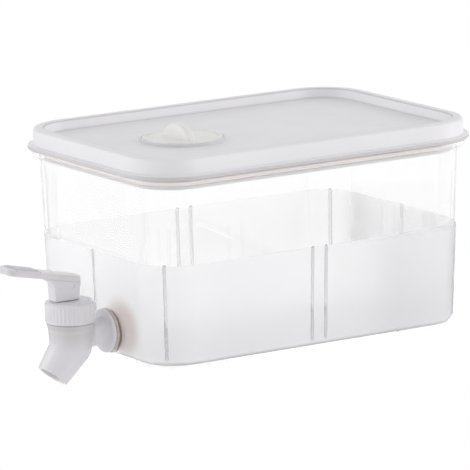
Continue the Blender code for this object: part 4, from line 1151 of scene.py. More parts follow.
@dataclass
class Lid:
    """The white lid: flange, hollow raised rim, sunken panel, ring round the filling hole, and its seal."""

    outline: JugOutline
    finish: MouldedPlastic = MouldedPlastic(
        "lid_plastic", (0.86, 0.85, 0.875), (0.825, 0.815, 0.84), roughness=0.42, translucency=0.12)
    # the ring's glow of 0.12 is painted light that brightens it in the shade under the lid
    rubber: SoftRubber = SoftRubber("lid_rubber", (0.96, 0.90, 0.86), 0.12)
    under: float = 0.1125
    top: float = 0.1250
    flange_top: float = 0.1153
    skirt_inset: float = 0.0034
    wall: float = 0.0022
    land: float = 0.0100
    slope: float = 0.0012
    panel_inset: float = 0.0123
    panel_top: float = 0.1192
    panel_under: float = 0.1170
    plug_inset: float = 0.00982
    plug_thickness: float = 0.0024
    plug_bottom: float = 0.1053
    groove_depth: float = 0.0011
    groove: tuple[float, float] = (0.1074, 0.1104)
    lip: float = 0.00028
    # how strong the painted shade on the flange's edge and the painted shadow lines at the brink and panel foot are
    flange_shade: float = 0.62
    brink_shadow: float = 0.60
    panel_foot_shadow: float = 0.40
    cap_x: float = -0.047
    ring_radius: float = 0.0260
    ring_top: float = 0.1212
    ring_flare: float = 0.0006
    cap_radius: float = 0.0245
    hole_radius: float = 0.0218
    cap_seat: float = 0.1196
    sharp: float = 35.0

    def profile(self) -> np.ndarray:
        """The lid's section: out over the panel, rim and flange, back under them, and round the plug.

        Returns:
            Rows of inset and height.
        """
        low, high = self.groove
        plug, back = self.plug_inset, self.plug_inset + self.groove_depth
        inner, roof = self.plug_inset + self.plug_thickness, self.top - self.wall
        skirt = self.skirt_inset + self.wall
        return filleted([
            (self.outline.flat_inset, self.panel_top, 0), (self.panel_inset + 0.0016, self.panel_top, 0),
            (self.panel_inset, self.panel_top, 0.0004),
            (self.panel_inset - 0.0005, self.panel_top + self.slope, 0),
            (self.land + 0.0003, self.top - self.slope, 0), (self.land, self.top, 0.0005),
            (self.land - 0.0010, self.top, 0), (self.skirt_inset, self.top, 0.0021),
            (self.skirt_inset, self.flange_top, 0.0007), (0.0, self.flange_top, 0.0011),
            (0.0, self.under, 0.0009), (skirt, self.under, 0.0003), (skirt, roof, 0.0008),
            (self.land - 0.0028, roof, 0.0008), (plug, self.panel_top, 0.0004), (plug, high, 0.0001),
            (back, high, 0), (back, low, 0), (plug, low, 0.0001), (plug, self.plug_bottom, 0.0007),
            (inner, self.plug_bottom, 0.0005), (inner, self.panel_under, 0.0010),
            (self.outline.flat_inset, self.panel_under, 0),
        ], 6)

    def shell(self) -> bpy.types.Mesh:
        """The lid's moulding without its hole, with painted shade on the flange's edge and painted shadow lines
        at the rim's brink and the panel's foot.

        Returns:
            The mesh.
        """
        profile = self.profile()
        inset, height = profile[:, :1], profile[:, 1:]
        # painted shade on the flange's edge face, and painted shadow lines along the rim's inner brink and the panel's
        # foot, carried as groove values
        edge = (inset < 0.0012) & (height < self.flange_top - 0.0005) & (height > self.under)
        brink = (np.abs(inset - self.land) < 0.0006) & (height > self.top - 0.0006)
        foot = (np.abs(inset - self.panel_inset) < 0.0007) & (np.abs(height - self.panel_top) < 0.0005)
        painted_shade = edge * self.flange_shade + brink * self.brink_shadow + foot * self.panel_foot_shadow
        points = self.outline.path(step=0.01, turn_step=math.radians(3)).carry(profile)
        values = {"groove": np.repeat(painted_shade, points.shape[1], axis=1)}
        return skin("lid_shell", points, values=values, sharp=self.sharp)

    def seal(self) -> bpy.types.Mesh:
        """The lid's soft ring, with two round lips that face the tub's wall.

        Returns:
            The mesh.
        """
        low, high = self.groove
        back = self.plug_inset + self.groove_depth - GAP
        front = self.outline.inside(high) + GAP
        rows = np.linspace(0, 1, 17)
        lips = front + self.lip * (0.5 + 0.5 * np.cos(rows * 2 * TURN))
        face = np.column_stack((lips, low + GAP + rows * (high - low - GAP * 2)))
        profile = np.concatenate((face, ((back, high - GAP), (back, low + GAP))))
        return skin("lid_ring", self.outline.path().carry(profile), ring=True)

    def build(self) -> None:
        """Makes the lid and its seal."""
        at = (self.cap_x, 0.0, 0.0)
        low, above, below = self.panel_top - 0.001, self.ring_top + OVERRUN, self.panel_under - OVERRUN
        ring = turned("cap_ring", [
            (CORE, self.ring_top, 0), (self.ring_radius, self.ring_top, 0.0009),
            (self.ring_radius, self.panel_top + 0.0003, 0.0002), (self.ring_radius + self.ring_flare, low, 0),
            (CORE, low, 0),
        ], at, steps=144)
        hole = turned("cap_hole", [
            (CORE, above, 0), (self.cap_radius, above, 0), (self.cap_radius, self.cap_seat, 0),
            (self.hole_radius, self.cap_seat, 0.0002), (self.hole_radius, below, 0), (CORE, below, 0),
        ], at, steps=144)
        mesh = combined(self.shell(), (ring, Cut.ADD), (hole, Cut.REMOVE), sharp=self.sharp)
        show("jug_lid", mesh, self.finish, Body.LID, Slot.WHITE, "lid")
        show("lid_soft_ring", self.seal(), self.rubber, Body.LID, Slot.SILICONE, "lid_seal")


@dataclass
class FillingCap:
    """The round cap of the filling hole: a rimmed disc, a hollow plug with a soft ring, and a half-moon fin."""

    finish: MouldedPlastic = MouldedPlastic(
        "cap_plastic", (0.88, 0.875, 0.855), (0.85, 0.845, 0.83), roughness=0.3, translucency=0.12)
    rubber: SoftRubber = SoftRubber("cap_rubber")
    x: float = -0.047
    radius: float = 0.0242
    bottom: float = 0.1199
    rim_height: float = 0.0017
    rim_width: float = 0.0018
    thickness: float = 0.0012
    skirt_radius: float = 0.0215
    skirt_thickness: float = 0.0022
    skirt_depth: float = 0.0085
    seal_wire: float = 0.0005
    seal_height: float = 0.1183
    fin_length: float = 0.030
    fin_height: float = 0.0088
    fin_thickness: float = 0.0070
    fin_shift: float = -0.0024
    fin_power: float = 0.55
    fin_sunk: float = 0.0009

    def disc(self) -> bpy.types.Mesh:
        """The cap without its fin, as one turned profile.

        Returns:
            The mesh.
        """
        top, disc_top = self.bottom + self.rim_height, self.bottom + self.thickness
        inner, skirt_inner = self.radius - self.rim_width, self.skirt_radius - self.skirt_thickness
        low, groove = self.bottom - self.skirt_depth, self.skirt_radius - self.seal_wire * 2 - GAP
        half = self.seal_wire + GAP
        return turned("cap_disc", [
            (CORE, disc_top, 0), (inner - 0.0003, disc_top, 0.0003), (inner, top, 0.0003),
            (self.radius, top, 0.0006), (self.radius, self.bottom, 0.0002),
            (self.skirt_radius, self.bottom, 0.0002), (self.skirt_radius, self.seal_height + half, 0),
            (groove, self.seal_height + half, 0), (groove, self.seal_height - half, 0),
            (self.skirt_radius, self.seal_height - half, 0), (self.skirt_radius, low, 0.0006),
            (skirt_inner, low, 0.0004), (skirt_inner, self.bottom, 0.0006), (CORE, self.bottom, 0),
        ], (self.x, 0, 0), steps=144)

    def fin(self) -> bpy.types.Mesh:
        """The finger fin.

        Going along it, its height follows a circle through its ends and its crest, and each cross-section
        is a superellipse: the thickness times a power of the cosine, the height times that of the sine.

        Returns:
            The mesh.
        """
        half, sections = self.fin_length / 2, 48
        circle = (half**2 + self.fin_height**2) / (2 * self.fin_height)
        along = half * np.sin(np.linspace(-math.pi / 2, math.pi / 2, 49)) * 0.999
        crest = np.sqrt(circle**2 - along**2) - (circle - self.fin_height)
        end = np.sqrt(np.clip(1 - (along / half) ** 2, 0, 1)) ** 0.35
        angle = np.arange(sections) * TURN / sections
        wide = signed_power(np.cos(angle), self.fin_power) * self.fin_thickness / 2
        high = signed_power(np.sin(angle), self.fin_power)
        x = self.x + self.fin_shift + end[:, None] * wide
        y = np.repeat(along[:, None], sections, axis=1)
        z = self.bottom + self.thickness + high * np.where(high > 0, crest[:, None], self.fin_sunk)
        return skin("cap_fin", np.stack((x, y, z), axis=2), sharp=60)

    def build(self) -> None:
        """Makes the cap and its ring."""
        mesh = combined(self.disc(), (self.fin(), Cut.ADD), sharp=38)
        show("filling_cap", mesh, self.finish, Body.CAP, Slot.CAP, "fill_cap")
        ring = soft_ring("cap_ring_skin", self.skirt_radius - self.seal_wire, self.seal_height, self.seal_wire,
                         (self.x, 0, 0), 120)
        show("cap_soft_ring", ring, self.rubber, Body.CAP, Slot.SILICONE, "cap_seal")


# The tap


@dataclass
class TapMoulding:
    """The tap's own moulding: barrel, funnel, thread, inlet pipe, shoulder, shank and leaning spout."""

    place: TapPlace
    finish: MouldedPlastic
    barrel: tuple[float, float] = (0.0132, 0.0125)
    barrel_top: float = 0.0192
    elbow: float = 0.0084
    funnel_top: float = 0.0231
    funnel_radius: float = 0.0144
    thread_radius: float = 0.0123
    thread_top: float = 0.0305
    chamber_radius: float = 0.0096
    chamber_floor: float = 0.0100
    seat_radius: float = 0.0036
    seat_depth: float = 0.0065
    inlet_radius: float = 0.0083
    bore_radius: float = 0.0042
    shoulder_radius: float = 0.0131
    shoulder_thickness: float = 0.0020
    shank_radius: float = 0.0078
    shank_length: float = 0.0158
    spout_tilt: float = math.radians(39)
    spout_length: float = 0.0209
    spout_radius: float = 0.0097
    spout_wall: float = 0.0016
    throat_radius: float = 0.0058
    throat_back: float = 0.0076
    core: float = 0.002
    bore_core: float = 0.001
    voxel: float = 0.00042
    melting: int = 4
    # painted shade: a soft dark band round the barrel, and more under the collar
    barrel_shade: float = 0.45
    shade_reach: float = 0.010
    shade_shift: float = 0.003
    collar_shade: float = 0.55

    def spout(self, name: str, top: float, mouth: float, start: float, length: float) -> bpy.types.Mesh:
        """A leaning cone with a round upper end, turned about the spout's axis.

        Args:
            name: the mesh's name.
            top: the radius at its upper end.
            mouth: the radius at its lower end.
            start: how far down the spout's axis the round end's centre lies.
            length: how far down the axis it ends.

        Returns:
            The mesh.
        """
        quarter = np.linspace(0.02, math.pi / 2, 14)
        dome = np.column_stack((top * np.sin(quarter), top * np.cos(quarter) - start))
        foot = filleted([(top, -start, 0), (mouth, -length, 0.0003), (mouth / 2, -length, 0)], 3)[1:]
        points = turned_points(np.concatenate((dome, foot)), 96)
        turn = np.array(Matrix.Rotation(self.spout_tilt, 3, "Y"))
        return skin(name, points @ turn.T + (self.place.x, self.place.y, self.elbow))

    def pipe(self) -> bpy.types.Mesh:
        """The pipe from the barrel's axis through the shoulder to the shank's end.

        Returns:
            The mesh.
        """
        start, back = self.place.x, self.place.shoulder_back
        front, tip = back - self.shoulder_thickness, back + self.shank_length
        return turned("inlet_pipe", [
            (self.core, start, 0), (self.inlet_radius, start, 0), (self.inlet_radius, front, 0.0008),
            (self.shoulder_radius, front, 0.0007), (self.shoulder_radius, back, 0.0003),
            (self.shank_radius, back, 0.0002), (self.shank_radius, tip, 0.0005), (self.core, tip, 0),
        ], self.place.inlet_point(), Axis.INTO_JUG)

    def barrel_solid(self) -> bpy.types.Mesh:
        """The thread, funnel and barrel over a half-round bowl.

        Returns:
            The mesh.
        """
        quarter = np.linspace(0, math.pi / 2 - 0.02, 14)
        wide, low = self.barrel
        bowl = np.column_stack((low * np.cos(quarter), self.elbow - low * np.sin(quarter)))
        upper = filleted([
            (self.core, self.thread_top, 0), (self.thread_radius, self.thread_top, 0.0004),
            (self.thread_radius, self.funnel_top, 0), (self.funnel_radius, self.funnel_top, 0.0004),
            (wide, self.barrel_top, 0.002), (low, self.elbow, 0),
        ], 4)[:-1]
        points = turned_points(np.concatenate((upper, bowl)), 128)
        return skin("tap_barrel", stand(points, self.place.valve_point()))

    def chamber(self) -> bpy.types.Mesh:
        """The hollow that the valve works in, with the seat's hole at its foot.

        Returns:
            The mesh.
        """
        top, foot = self.thread_top + OVERRUN, self.chamber_floor - self.seat_depth
        return turned("valve_chamber", [
            (self.bore_core, top, 0), (self.chamber_radius, top, 0),
            (self.chamber_radius, self.chamber_floor, 0.0004), (self.seat_radius, self.chamber_floor, 0),
            (self.seat_radius, foot, 0), (self.bore_core, foot, 0),
        ], self.place.valve_point())

    def painted_shade(self, mesh: bpy.types.Mesh) -> np.ndarray:
        """How much painted shade each vertex takes: a soft band round the barrel, and more under the collar.

        Args:
            mesh: the moulding in place.

        Returns:
            One value for each vertex.
        """
        x, y, z = vectors(mesh).T
        middle = (self.barrel_top + self.elbow) / 2 + self.shade_shift
        soft = self.barrel_shade * np.clip(1 - np.abs(z - middle) / self.shade_reach, 0, 1)
        under_collar = (z > self.barrel_top + 0.0004) & (z < self.funnel_top + 0.0004)
        at_barrel = np.hypot(x - self.place.x, y - self.place.y) < self.funnel_radius + 0.0002
        return at_barrel * np.maximum(soft, self.collar_shade * under_collar)

    def build(self) -> None:
        """Makes the moulding: solids joined, bored, and melted together as one casting."""
        tip = self.place.shoulder_back + self.shank_length + OVERRUN
        bore = rod("inlet_bore", self.bore_radius, (self.place.x, tip), self.place.inlet_point(), Axis.INTO_JUG,
                   core=self.bore_core)
        outside = self.spout("spout_outside", self.barrel[1], self.spout_radius, 0, self.spout_length)
        inside = self.spout("spout_bore", self.throat_radius, self.spout_radius - self.spout_wall,
                            self.throat_back, self.spout_length + OVERRUN)
        mesh = combined(self.barrel_solid(), (self.pipe(), Cut.ADD), (outside, Cut.ADD),
                        (self.chamber(), Cut.REMOVE), (bore, Cut.REMOVE), (inside, Cut.REMOVE))
        mesh = melted(mesh, self.voxel, self.melting)
        # painted shade on the barrel, carried as groove values
        paint(mesh, "groove", self.painted_shade(mesh))
        show("tap_moulding", mesh, self.finish, Body.JUG, Slot.TAP, "tap_body")


@dataclass
class CollarNut:
    """The fluted collar that holds the bonnet on the barrel."""

    place: TapPlace
    finish: MouldedPlastic
    radius: float = 0.0150
    low: float = 0.0234
    top: float = 0.0360
    lip: float = 0.0340
    bore: float = 0.0126
    mouth: float = 0.0113
    flutes: int = 40
    flute_depth: float = 0.00038
    flute_fade: float = 0.0008

    def profile(self) -> np.ndarray:
        """The collar's section, with rows up its outer wall that the flutes fade in and out on.

        Returns:
            Rows of radius and height.
        """
        foot = ((self.radius + self.bore) / 2, self.low, 0)
        outline = filleted([
            foot, (self.radius - 0.0002, self.low, 0.0006), (self.radius, self.top - 0.0012, 0.0006),
            (self.radius - 0.0014, self.top, 0.0005), (self.mouth, self.top, 0.0004),
            (self.mouth, self.lip, 0.0001), (self.bore, self.lip, 0.0002), (self.bore, self.low, 0.0003), foot,
        ], 5)[:-1]
        heights = np.linspace(self.low + 0.0008, self.top - 0.0021, 9)
        wall = np.column_stack((np.full(len(heights), self.radius - 0.0001), heights))
        outer = int(np.argmax(outline[:, 1] > self.low + 0.0009))
        return np.concatenate((outline[:outer], wall, outline[outer:]))

    def build(self) -> None:
        """Makes the nut. Its radius dips by the flute depth times a power of a raised cosine of the angle's
        multiple, and the flutes fade out towards both edges."""
        profile = self.profile()
        steps = self.flutes * 9
        angle = np.arange(steps) * TURN / steps
        radius, height = profile[:, :1], profile[:, 1:]
        first, last = self.low + 0.0006, self.top - 0.0019
        fade = ramp(height, first, first + self.flute_fade) * ramp(height, last, last - self.flute_fade)
        dip = self.flute_depth * (0.5 - 0.5 * np.cos(self.flutes * angle)) ** 0.7
        wave = -fade * (radius > self.radius - 0.0006) * dip
        points = stand(turned_points(profile, steps, wave), self.place.valve_point())
        show("tap_collar", skin("collar", points, ring=True, sharp=55), self.finish, Body.JUG, Slot.TAP, "collar_nut")


@dataclass
class Valve:
    """The valve's inner pieces: bonnet, stem, soft cup, spring and the rings that seal them."""

    place: TapPlace
    finish: MouldedPlastic
    rubber: SoftRubber = SoftRubber("valve_rubber")
    steel: DrawnSteel = DrawnSteel()
    bonnet_top: float = 0.0363
    boss_radius: float = 0.0110
    flange: tuple[float, float] = (0.0319, 0.0337)
    flange_radius: float = 0.0123
    plug_radius: float = 0.0093
    plug_foot: float = 0.0264
    pocket_radius: float = 0.0064
    pocket_top: float = 0.0300
    gland_radius: float = 0.0044
    gland_height: float = 0.0019
    gland_wire: float = 0.00075
    stem_radius: float = 0.0024
    stem_bottom: float = 0.0129
    button_radius: float = 0.0034
    button_height: float = 0.0014
    shoulder: tuple[float, float] = (0.0181, 0.0193)
    shoulder_radius: float = 0.0054
    tab_thickness: float = 0.0030
    tab_foot: float = 0.0351
    tab_top: float = 0.052
    tab_cutter: float = 0.004
    pin_hole: float = 0.00145
    spring_radius: float = 0.0044
    spring_wire: float = 0.00035
    spring_turns: int = 5
    cup_height: float = 0.0058
    cup_sole: float = 0.0013
    gasket_radii: tuple[float, float] = (0.0096, 0.0123)
    gasket_heights: tuple[float, float] = (0.0308, 0.0316)

    def bonnet(self) -> bpy.types.Mesh:
        """The bonnet: a guide for the stem with a gland for its ring and a pocket for its spring.

        Returns:
            The mesh.
        """
        bore = self.stem_radius + GAP
        low, high = self.flange
        middle = (self.pocket_top + self.bonnet_top) / 2
        gland_low, gland_high = middle - self.gland_height / 2, middle + self.gland_height / 2
        return turned("bonnet", [
            (bore, self.bonnet_top, 0.0002), (self.boss_radius, self.bonnet_top, 0.0006),
            (self.boss_radius, high, 0.0001), (self.flange_radius, high, 0.0002),
            (self.flange_radius, low, 0.0002), (self.plug_radius, low, 0.0001),
            (self.plug_radius, self.plug_foot, 0.0003), (self.pocket_radius, self.plug_foot, 0.0003),
            (self.pocket_radius, self.pocket_top, 0.0003), (bore, self.pocket_top, 0.0001),
            (bore, gland_low, 0), (self.gland_radius, gland_low, 0), (self.gland_radius, gland_high, 0),
            (bore, gland_high, 0),
        ], self.place.valve_point(), ring=True)

    def stem(self) -> bpy.types.Mesh:
        """The stem, with its flat tab cut from round bar and its pin hole.

        Returns:
            The mesh.
        """
        low, high = self.shoulder
        button_top = self.stem_bottom + self.button_height
        quarter = np.linspace(0.05, math.pi / 2, 10)
        dome = np.column_stack((np.sin(quarter), np.cos(quarter))) * self.stem_radius + (0, self.place.pin)
        rest = filleted([
            (self.stem_radius, self.place.pin, 0), (self.stem_radius, high, 0.0002),
            (self.shoulder_radius, high, 0.0003), (self.shoulder_radius, low, 0.0003),
            (self.stem_radius, low, 0.0002), (self.stem_radius, button_top, 0),
            (self.button_radius, button_top, 0.0003), (self.button_radius, self.stem_bottom, 0.0003),
            (CORE, self.stem_bottom, 0),
        ], 3)[1:]
        bar = skin("stem_bar", stand(turned_points(np.concatenate((dome, rest)), 72), self.place.valve_point()))
        axis = Vector(self.place.valve_point())
        half = self.tab_thickness / 2
        reach, span = self.tab_cutter, (self.tab_foot, self.tab_top)
        cuts = [
            (block("tab_flat", axis + Vector((-reach, first, span[0])), axis + Vector((reach, last, span[1]))),
             Cut.REMOVE)
            for first, last in ((half, half + reach * 2), (-half - reach * 2, -half))
        ]
        hole = rod("pin_hole", self.pin_hole, (-0.006, 0.006), self.place.pin_point(), Axis.ACROSS, steps=48)
        return combined(bar, *cuts, (hole, Cut.REMOVE))

    def spring(self) -> None:
        """Makes the spring: a circle of the wire's radius carried along a helix.

        The helix point is the coil radius times the angle's cosine and sine, and a height that grows with
        the angle. The circle lies across it, between the outward direction and the one square to both.
        """
        seat = self.shoulder[1]
        low = seat + GAP + self.spring_wire
        high = self.pocket_top - GAP - self.spring_wire
        angle = np.linspace(0, self.spring_turns * TURN, self.spring_turns * 40 + 1)
        flat = np.zeros(len(angle))
        outward = np.column_stack((np.cos(angle), np.sin(angle), flat))
        climb = (high - low) / angle[-1]
        ahead = np.column_stack((-outward[:, 1], outward[:, 0], flat + climb / self.spring_radius))
        ahead /= np.linalg.norm(ahead, axis=1)[:, None]
        centre = outward * self.spring_radius + (0, 0, 1) * (low + climb * angle)[:, None]
        around = (np.arange(12) * TURN / 12)[None, :, None]
        ring = np.cos(around) * outward[:, None] + np.sin(around) * np.cross(ahead, outward)[:, None]
        points = stand(centre[:, None] + self.spring_wire * ring, self.place.valve_point())
        piece = show("return_coil", skin("coil", points), self.steel, Body.STEM, Slot.STEEL, "return_spring")
        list(self.place.valve_point()[:2])
        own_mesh(piece)

    def cup(self) -> bpy.types.Mesh:
        """The cup that is buttoned on the stem's foot.

        Returns:
            The mesh.
        """
        neck = self.stem_radius + GAP
        hollow, floor = self.button_radius + GAP, self.stem_bottom - GAP
        inner_top = self.stem_bottom + self.button_height + GAP
        bottom = floor - self.cup_sole
        top = bottom + self.cup_height
        return turned("cup", [
            (CORE, floor, 0), (hollow, floor, 0.0002), (hollow, inner_top, 0.0001), (neck, inner_top, 0),
            (neck, top, 0.0003), (neck + 0.0009, top, 0.0004), (0.0062, (floor + inner_top) / 2, 0.0008),
            (0.0058, bottom, 0.0005), (CORE, bottom, 0),
        ], self.place.valve_point(), steps=72)

    def build(self) -> None:
        """Makes all the inner pieces."""
        at = self.place.valve_point()
        show("tap_bonnet", self.bonnet(), self.finish, Body.JUG, Slot.TAP, "bonnet")
        show("tap_stem", self.stem(), self.finish, Body.STEM, Slot.TAP, "valve_stem")
        self.spring()
        (bore, rim), (low, high) = self.gasket_radii, self.gasket_heights
        gasket = turned("gasket", [(bore, low, 0), (rim, low, 0.0002), (rim, high, 0.0002), (bore, high, 0.0002)],
                        at, ring=True)
        ring = soft_ring("ring", self.stem_radius + GAP + self.gland_wire, (self.pocket_top + self.bonnet_top) / 2,
                         self.gland_wire, at, 60)
        show("stem_cup", self.cup(), self.rubber, Body.STEM, Slot.SILICONE, "seat_cup")
        show("bonnet_ring", gasket, self.rubber, Body.JUG, Slot.SILICONE, "bonnet_gasket")
        show("stem_ring", ring, self.rubber, Body.JUG, Slot.SILICONE, "stem_seal")


@dataclass
class WallFixing:
    """What holds the tap to the wall: the gaskets on both sides and the lock nut inside."""

    place: TapPlace
    finish: MouldedPlastic
    rubber: SoftRubber = SoftRubber("gasket_rubber", (0.60, 0.535, 0.51))
    shank_radius: float = 0.0078
    gasket: float = 0.0015
    outer_radius: float = 0.0131
    nut_radius: float = 0.0114
    nut_length: float = 0.0070
    nut_flange: float = 0.0016
    nut_edge: float = 0.0003
    hexagon_share: float = 0.985
    gap: float = 0.0002

    def washer(self, name: str, start: float, radius: float, node: str) -> None:
        """Makes one gasket.

        Args:
            name: the piece's name.
            start: where its outer face lies along the inlet.
            radius: its outer radius.
            node: the model's node that it stands for.
        """
        bore, end = self.shank_radius + GAP, start + self.gasket
        corners = [(bore, start, 0), (radius, start, 0.0003), (radius, end, 0.0003), (bore, end, 0.0002)]
        mesh = turned(name + "_mesh", corners, self.place.inlet_point(), Axis.INTO_JUG, ring=True)
        show(name, mesh, self.rubber, Body.JUG, Slot.SILICONE, node)

    def nut(self) -> bpy.types.Mesh:
        """The lock nut: a round flange and a hexagon whose corners are turned off.

        A hexagon's radius at an angle is its inner radius over the cosine of the angle from the middle of
        the nearest flat, and the corners stay inside the chamfer's radius.

        Returns:
            The mesh.
        """
        steps, edge = 144, self.nut_edge
        start = self.place.spotface + self.gap * 2 + self.gasket
        flange_end, end = start + self.nut_flange, start + self.nut_length
        angle = np.arange(steps) * TURN / steps
        corner = self.nut_radius * self.hexagon_share
        flat = corner * math.cos(math.pi / 6)
        hexagon = flat / np.cos((angle + math.pi / 6) % (math.pi / 3) - math.pi / 6)
        bore = self.shank_radius + self.gap
        rows = np.array([
            (bore, start, 0), (self.nut_radius - edge, start, 0), (self.nut_radius, start + edge, 0),
            (self.nut_radius, flange_end - edge, 0), (self.nut_radius - edge, flange_end, 0),
            (corner, flange_end + 0.0001, 1), (corner, end - 0.0012, 1), (flat + 0.0006, end - edge, 1),
            (flat - 0.0004, end, 1), (bore + 0.0004, end, 0), (bore, end - 0.0004, 0),
        ])
        plain = rows[:, :1] * np.ones(steps)
        radius = np.where(rows[:, 2:] > 0, np.minimum(plain, hexagon), plain)
        points = turned_points(rows[:, :2], steps, radius - plain)
        return skin("nut", stand(points, self.place.inlet_point(), Axis.INTO_JUG), ring=True, sharp=30)

    def build(self) -> None:
        """Makes the gaskets and the nut."""
        outside = self.place.boss_face - self.gap - self.gasket
        self.washer("outer_washer", outside, self.outer_radius, "outer_gasket")
        self.washer("inner_washer", self.place.spotface + self.gap, self.nut_radius, "inner_gasket")
        show("wall_nut", self.nut(), self.finish, Body.JUG, Slot.TAP, "lock_nut")


@dataclass
class Lever:
    """The lever: a paddle with a ridged grip on a slotted neck with a rolling heel, and its pin.

    Its meshes are made in the lever's own frame, whose zero is the middle of the pin.
    """

    place: TapPlace
    finish: MouldedPlastic
    cam_offset: float = 0.0090
    press: float = math.radians(18)
    heel: float = 0.0082
    neck_width: float = 0.0075
    neck_rear: float = 0.0051
    neck_bulge: float = 0.0006
    neck_flare: float = 0.0003
    flare_height: float = 0.0034
    fillet: float = 0.0055
    slot: tuple[float, float] = (-0.0055, 0.0028)
    slot_top: float = 0.0029
    slot_width: float = 0.0036
    pin_radius: float = 0.00125
    pin_gap: float = 0.00005
    pin_edge: float = 0.0003
    tilt: float = math.radians(11.9)
    rise: float = 0.0074
    thickness: float = 0.0042
    rear: float = 0.0058
    reach: float = 0.0452
    rear_width: float = 0.0094
    tip_width: float = 0.0180
    tip_round: float = 0.0064
    rear_round: float = 0.0016
    section_power: float = 1 / 6
    lip: float = 0.0012
    ridges: int = 10
    pitch: float = 0.0017
    ridge_height: float = 0.0008
    ridge_start: float = 0.0042
    rim: float = 0.0012
    rim_height: float = 0.0002
    voxel: float = 0.00022
    melting: int = 2
    # painted shade on the paddle's sides and in the furrows between the grip's ridges
    side_shade: float = 0.32
    furrow_shade: float = 0.8

    def half_width(self, along: np.ndarray) -> np.ndarray:
        """The paddle's half width: a straight taper less what its round ends take off.

        Args:
            along: places along the paddle.

        Returns:
            The half width at each place.
        """
        share = (along + self.reach) / (self.reach + self.rear)
        half = (self.tip_width + (self.rear_width - self.tip_width) * share) / 2
        ends = ((self.tip_round, self.tip_round - self.reach - along),
                (self.rear_round, along - (self.rear - self.rear_round)))
        for radius, past in ends:
            half -= radius - np.sqrt(np.maximum(radius**2 - np.maximum(0, past) ** 2, 0))
        return half

    def plate(self) -> bpy.types.Mesh:
        """The paddle.

        Its stations run along it and its sections go round it. The half width follows a straight taper with
        round ends: near an end it drops by the corner radius less the root of that radius squared less the
        distance past the corner's centre squared. The sections are superellipses of power 12. The top carries
        the grip's ridges, a raised cosine of the distance, inside a rim along both edges.

        Returns:
            The mesh.
        """
        ends = 1 - np.cos(np.linspace(0, math.pi / 2, 14))
        tip = -self.reach + self.tip_round * ends
        back = self.rear - self.rear_round * ends[::-1]
        start = -self.reach + self.ridge_start
        grip_end = start + self.pitch * self.ridges
        grip = np.linspace(tip[-1], grip_end, int((grip_end - tip[-1]) / 0.00018))[1:]
        along = np.concatenate((tip, grip, np.linspace(grip_end, back[0], 24)[1:], back[1:]))[:, None]
        sections = 88
        angle = np.arange(sections) * TURN / sections
        half = self.half_width(along)
        y = half * signed_power(np.cos(angle), self.section_power)
        up = signed_power(np.sin(angle), self.section_power)
        lip = np.clip(1 - np.minimum(along + self.reach, self.rear - along) / self.lip, 0, 1)
        z = (up * (1 - 0.2 * lip**2) - 1) * self.thickness / 2
        phase = (along - start) / self.pitch
        wave = np.clip(0.5 - 0.9 * np.cos(phase * TURN), 0, 1) * ((phase > 0) & (phase < self.ridges))
        inside = ramp(half - self.rim - np.abs(y), 0, 0.0005)
        grip_zone = ramp(along, start - 0.0020, start - 0.0014) * ramp(-along, -grip_end - 0.0005, -grip_end + 0.0001)
        edge = ramp(np.abs(y) - half + self.rim, 0, 0.0004)
        relief = inside * wave * self.ridge_height + edge * grip_zone * self.rim_height
        points = np.stack((np.broadcast_to(along, y.shape), y, z + relief * (up > 0.5)), axis=2)
        turn = np.array(Matrix.Rotation(self.tilt, 3, "Y"))
        return skin("paddle", points @ turn.T + (0, 0, self.rise))

    def neck_side(self) -> np.ndarray:
        """The neck's side view as (x, z) rows: rear, flat heel, rolling heel, front fillet.

        The rolling heel is an involute: at a turn the distance to the pin grows by the cam offset for each
        radian, and the touching point stays ahead of the pin by that offset.

        Returns:
            The outline's points.
        """
        turn = np.linspace(0, self.press, 19)
        sin, cos = np.sin(turn), np.cos(turn)
        distance = self.heel + self.cam_offset * turn
        rolling = -np.column_stack((distance * sin + self.cam_offset * cos, distance * cos - self.cam_offset * sin))
        front, slope = rolling[-1, 0], math.tan(self.tilt)
        top = self.rise - self.thickness - front * slope - self.fillet * 0.2
        angle = np.linspace(0, math.pi / 2, 16)
        centre = np.array((front - self.fillet, top - self.fillet * 0.85))
        bend = centre + self.fillet * np.column_stack((np.cos(angle), np.sin(angle) * 1.05))
        tip = bend[-1:] + (0, self.thickness * 0.6)
        bulge = self.neck_rear + self.neck_bulge
        rear = filleted([
            (bulge, self.rise - self.thickness / 2 - bulge * slope, 0), (bulge, 0.001, 0.003),
            (self.neck_rear, -self.heel / 2, 0.003), (self.neck_rear, -self.heel, 0.0005),
            (-self.cam_offset, -self.heel, 0),
        ], 4)[:-1]
        return np.concatenate((rear, rolling, bend, tip))

    def neck(self) -> bpy.types.Mesh:
        """The neck: its side view carried across, wider towards the paddle and drawn in at its faces.

        The half width grows by the flare times one less the cosine of how far a point has climbed
        into the flare's height.

        Returns:
            The mesh.
        """
        side = self.neck_side()
        shares = np.array((-1, -0.94, -0.8, -0.4, 0, 0.4, 0.8, 0.94, 1))
        edge = np.array((0.94, 0.985, 1, 1, 1, 1, 1, 0.985, 0.94))
        middle = np.array((-0.003, 0.0))
        under = self.rise - self.thickness - side[:, 0] * math.tan(self.tilt)
        climb = np.clip((side[:, 1] - under) / self.flare_height + 1, 0, 1.3)
        half = self.neck_width / 2 + self.neck_flare * (1 - np.cos(climb * math.pi / 2))
        spot = middle + (side - middle) * edge[:, None, None]
        return skin("lever_neck", np.stack((spot[..., 0], half * shares[:, None], spot[..., 1]), axis=2))

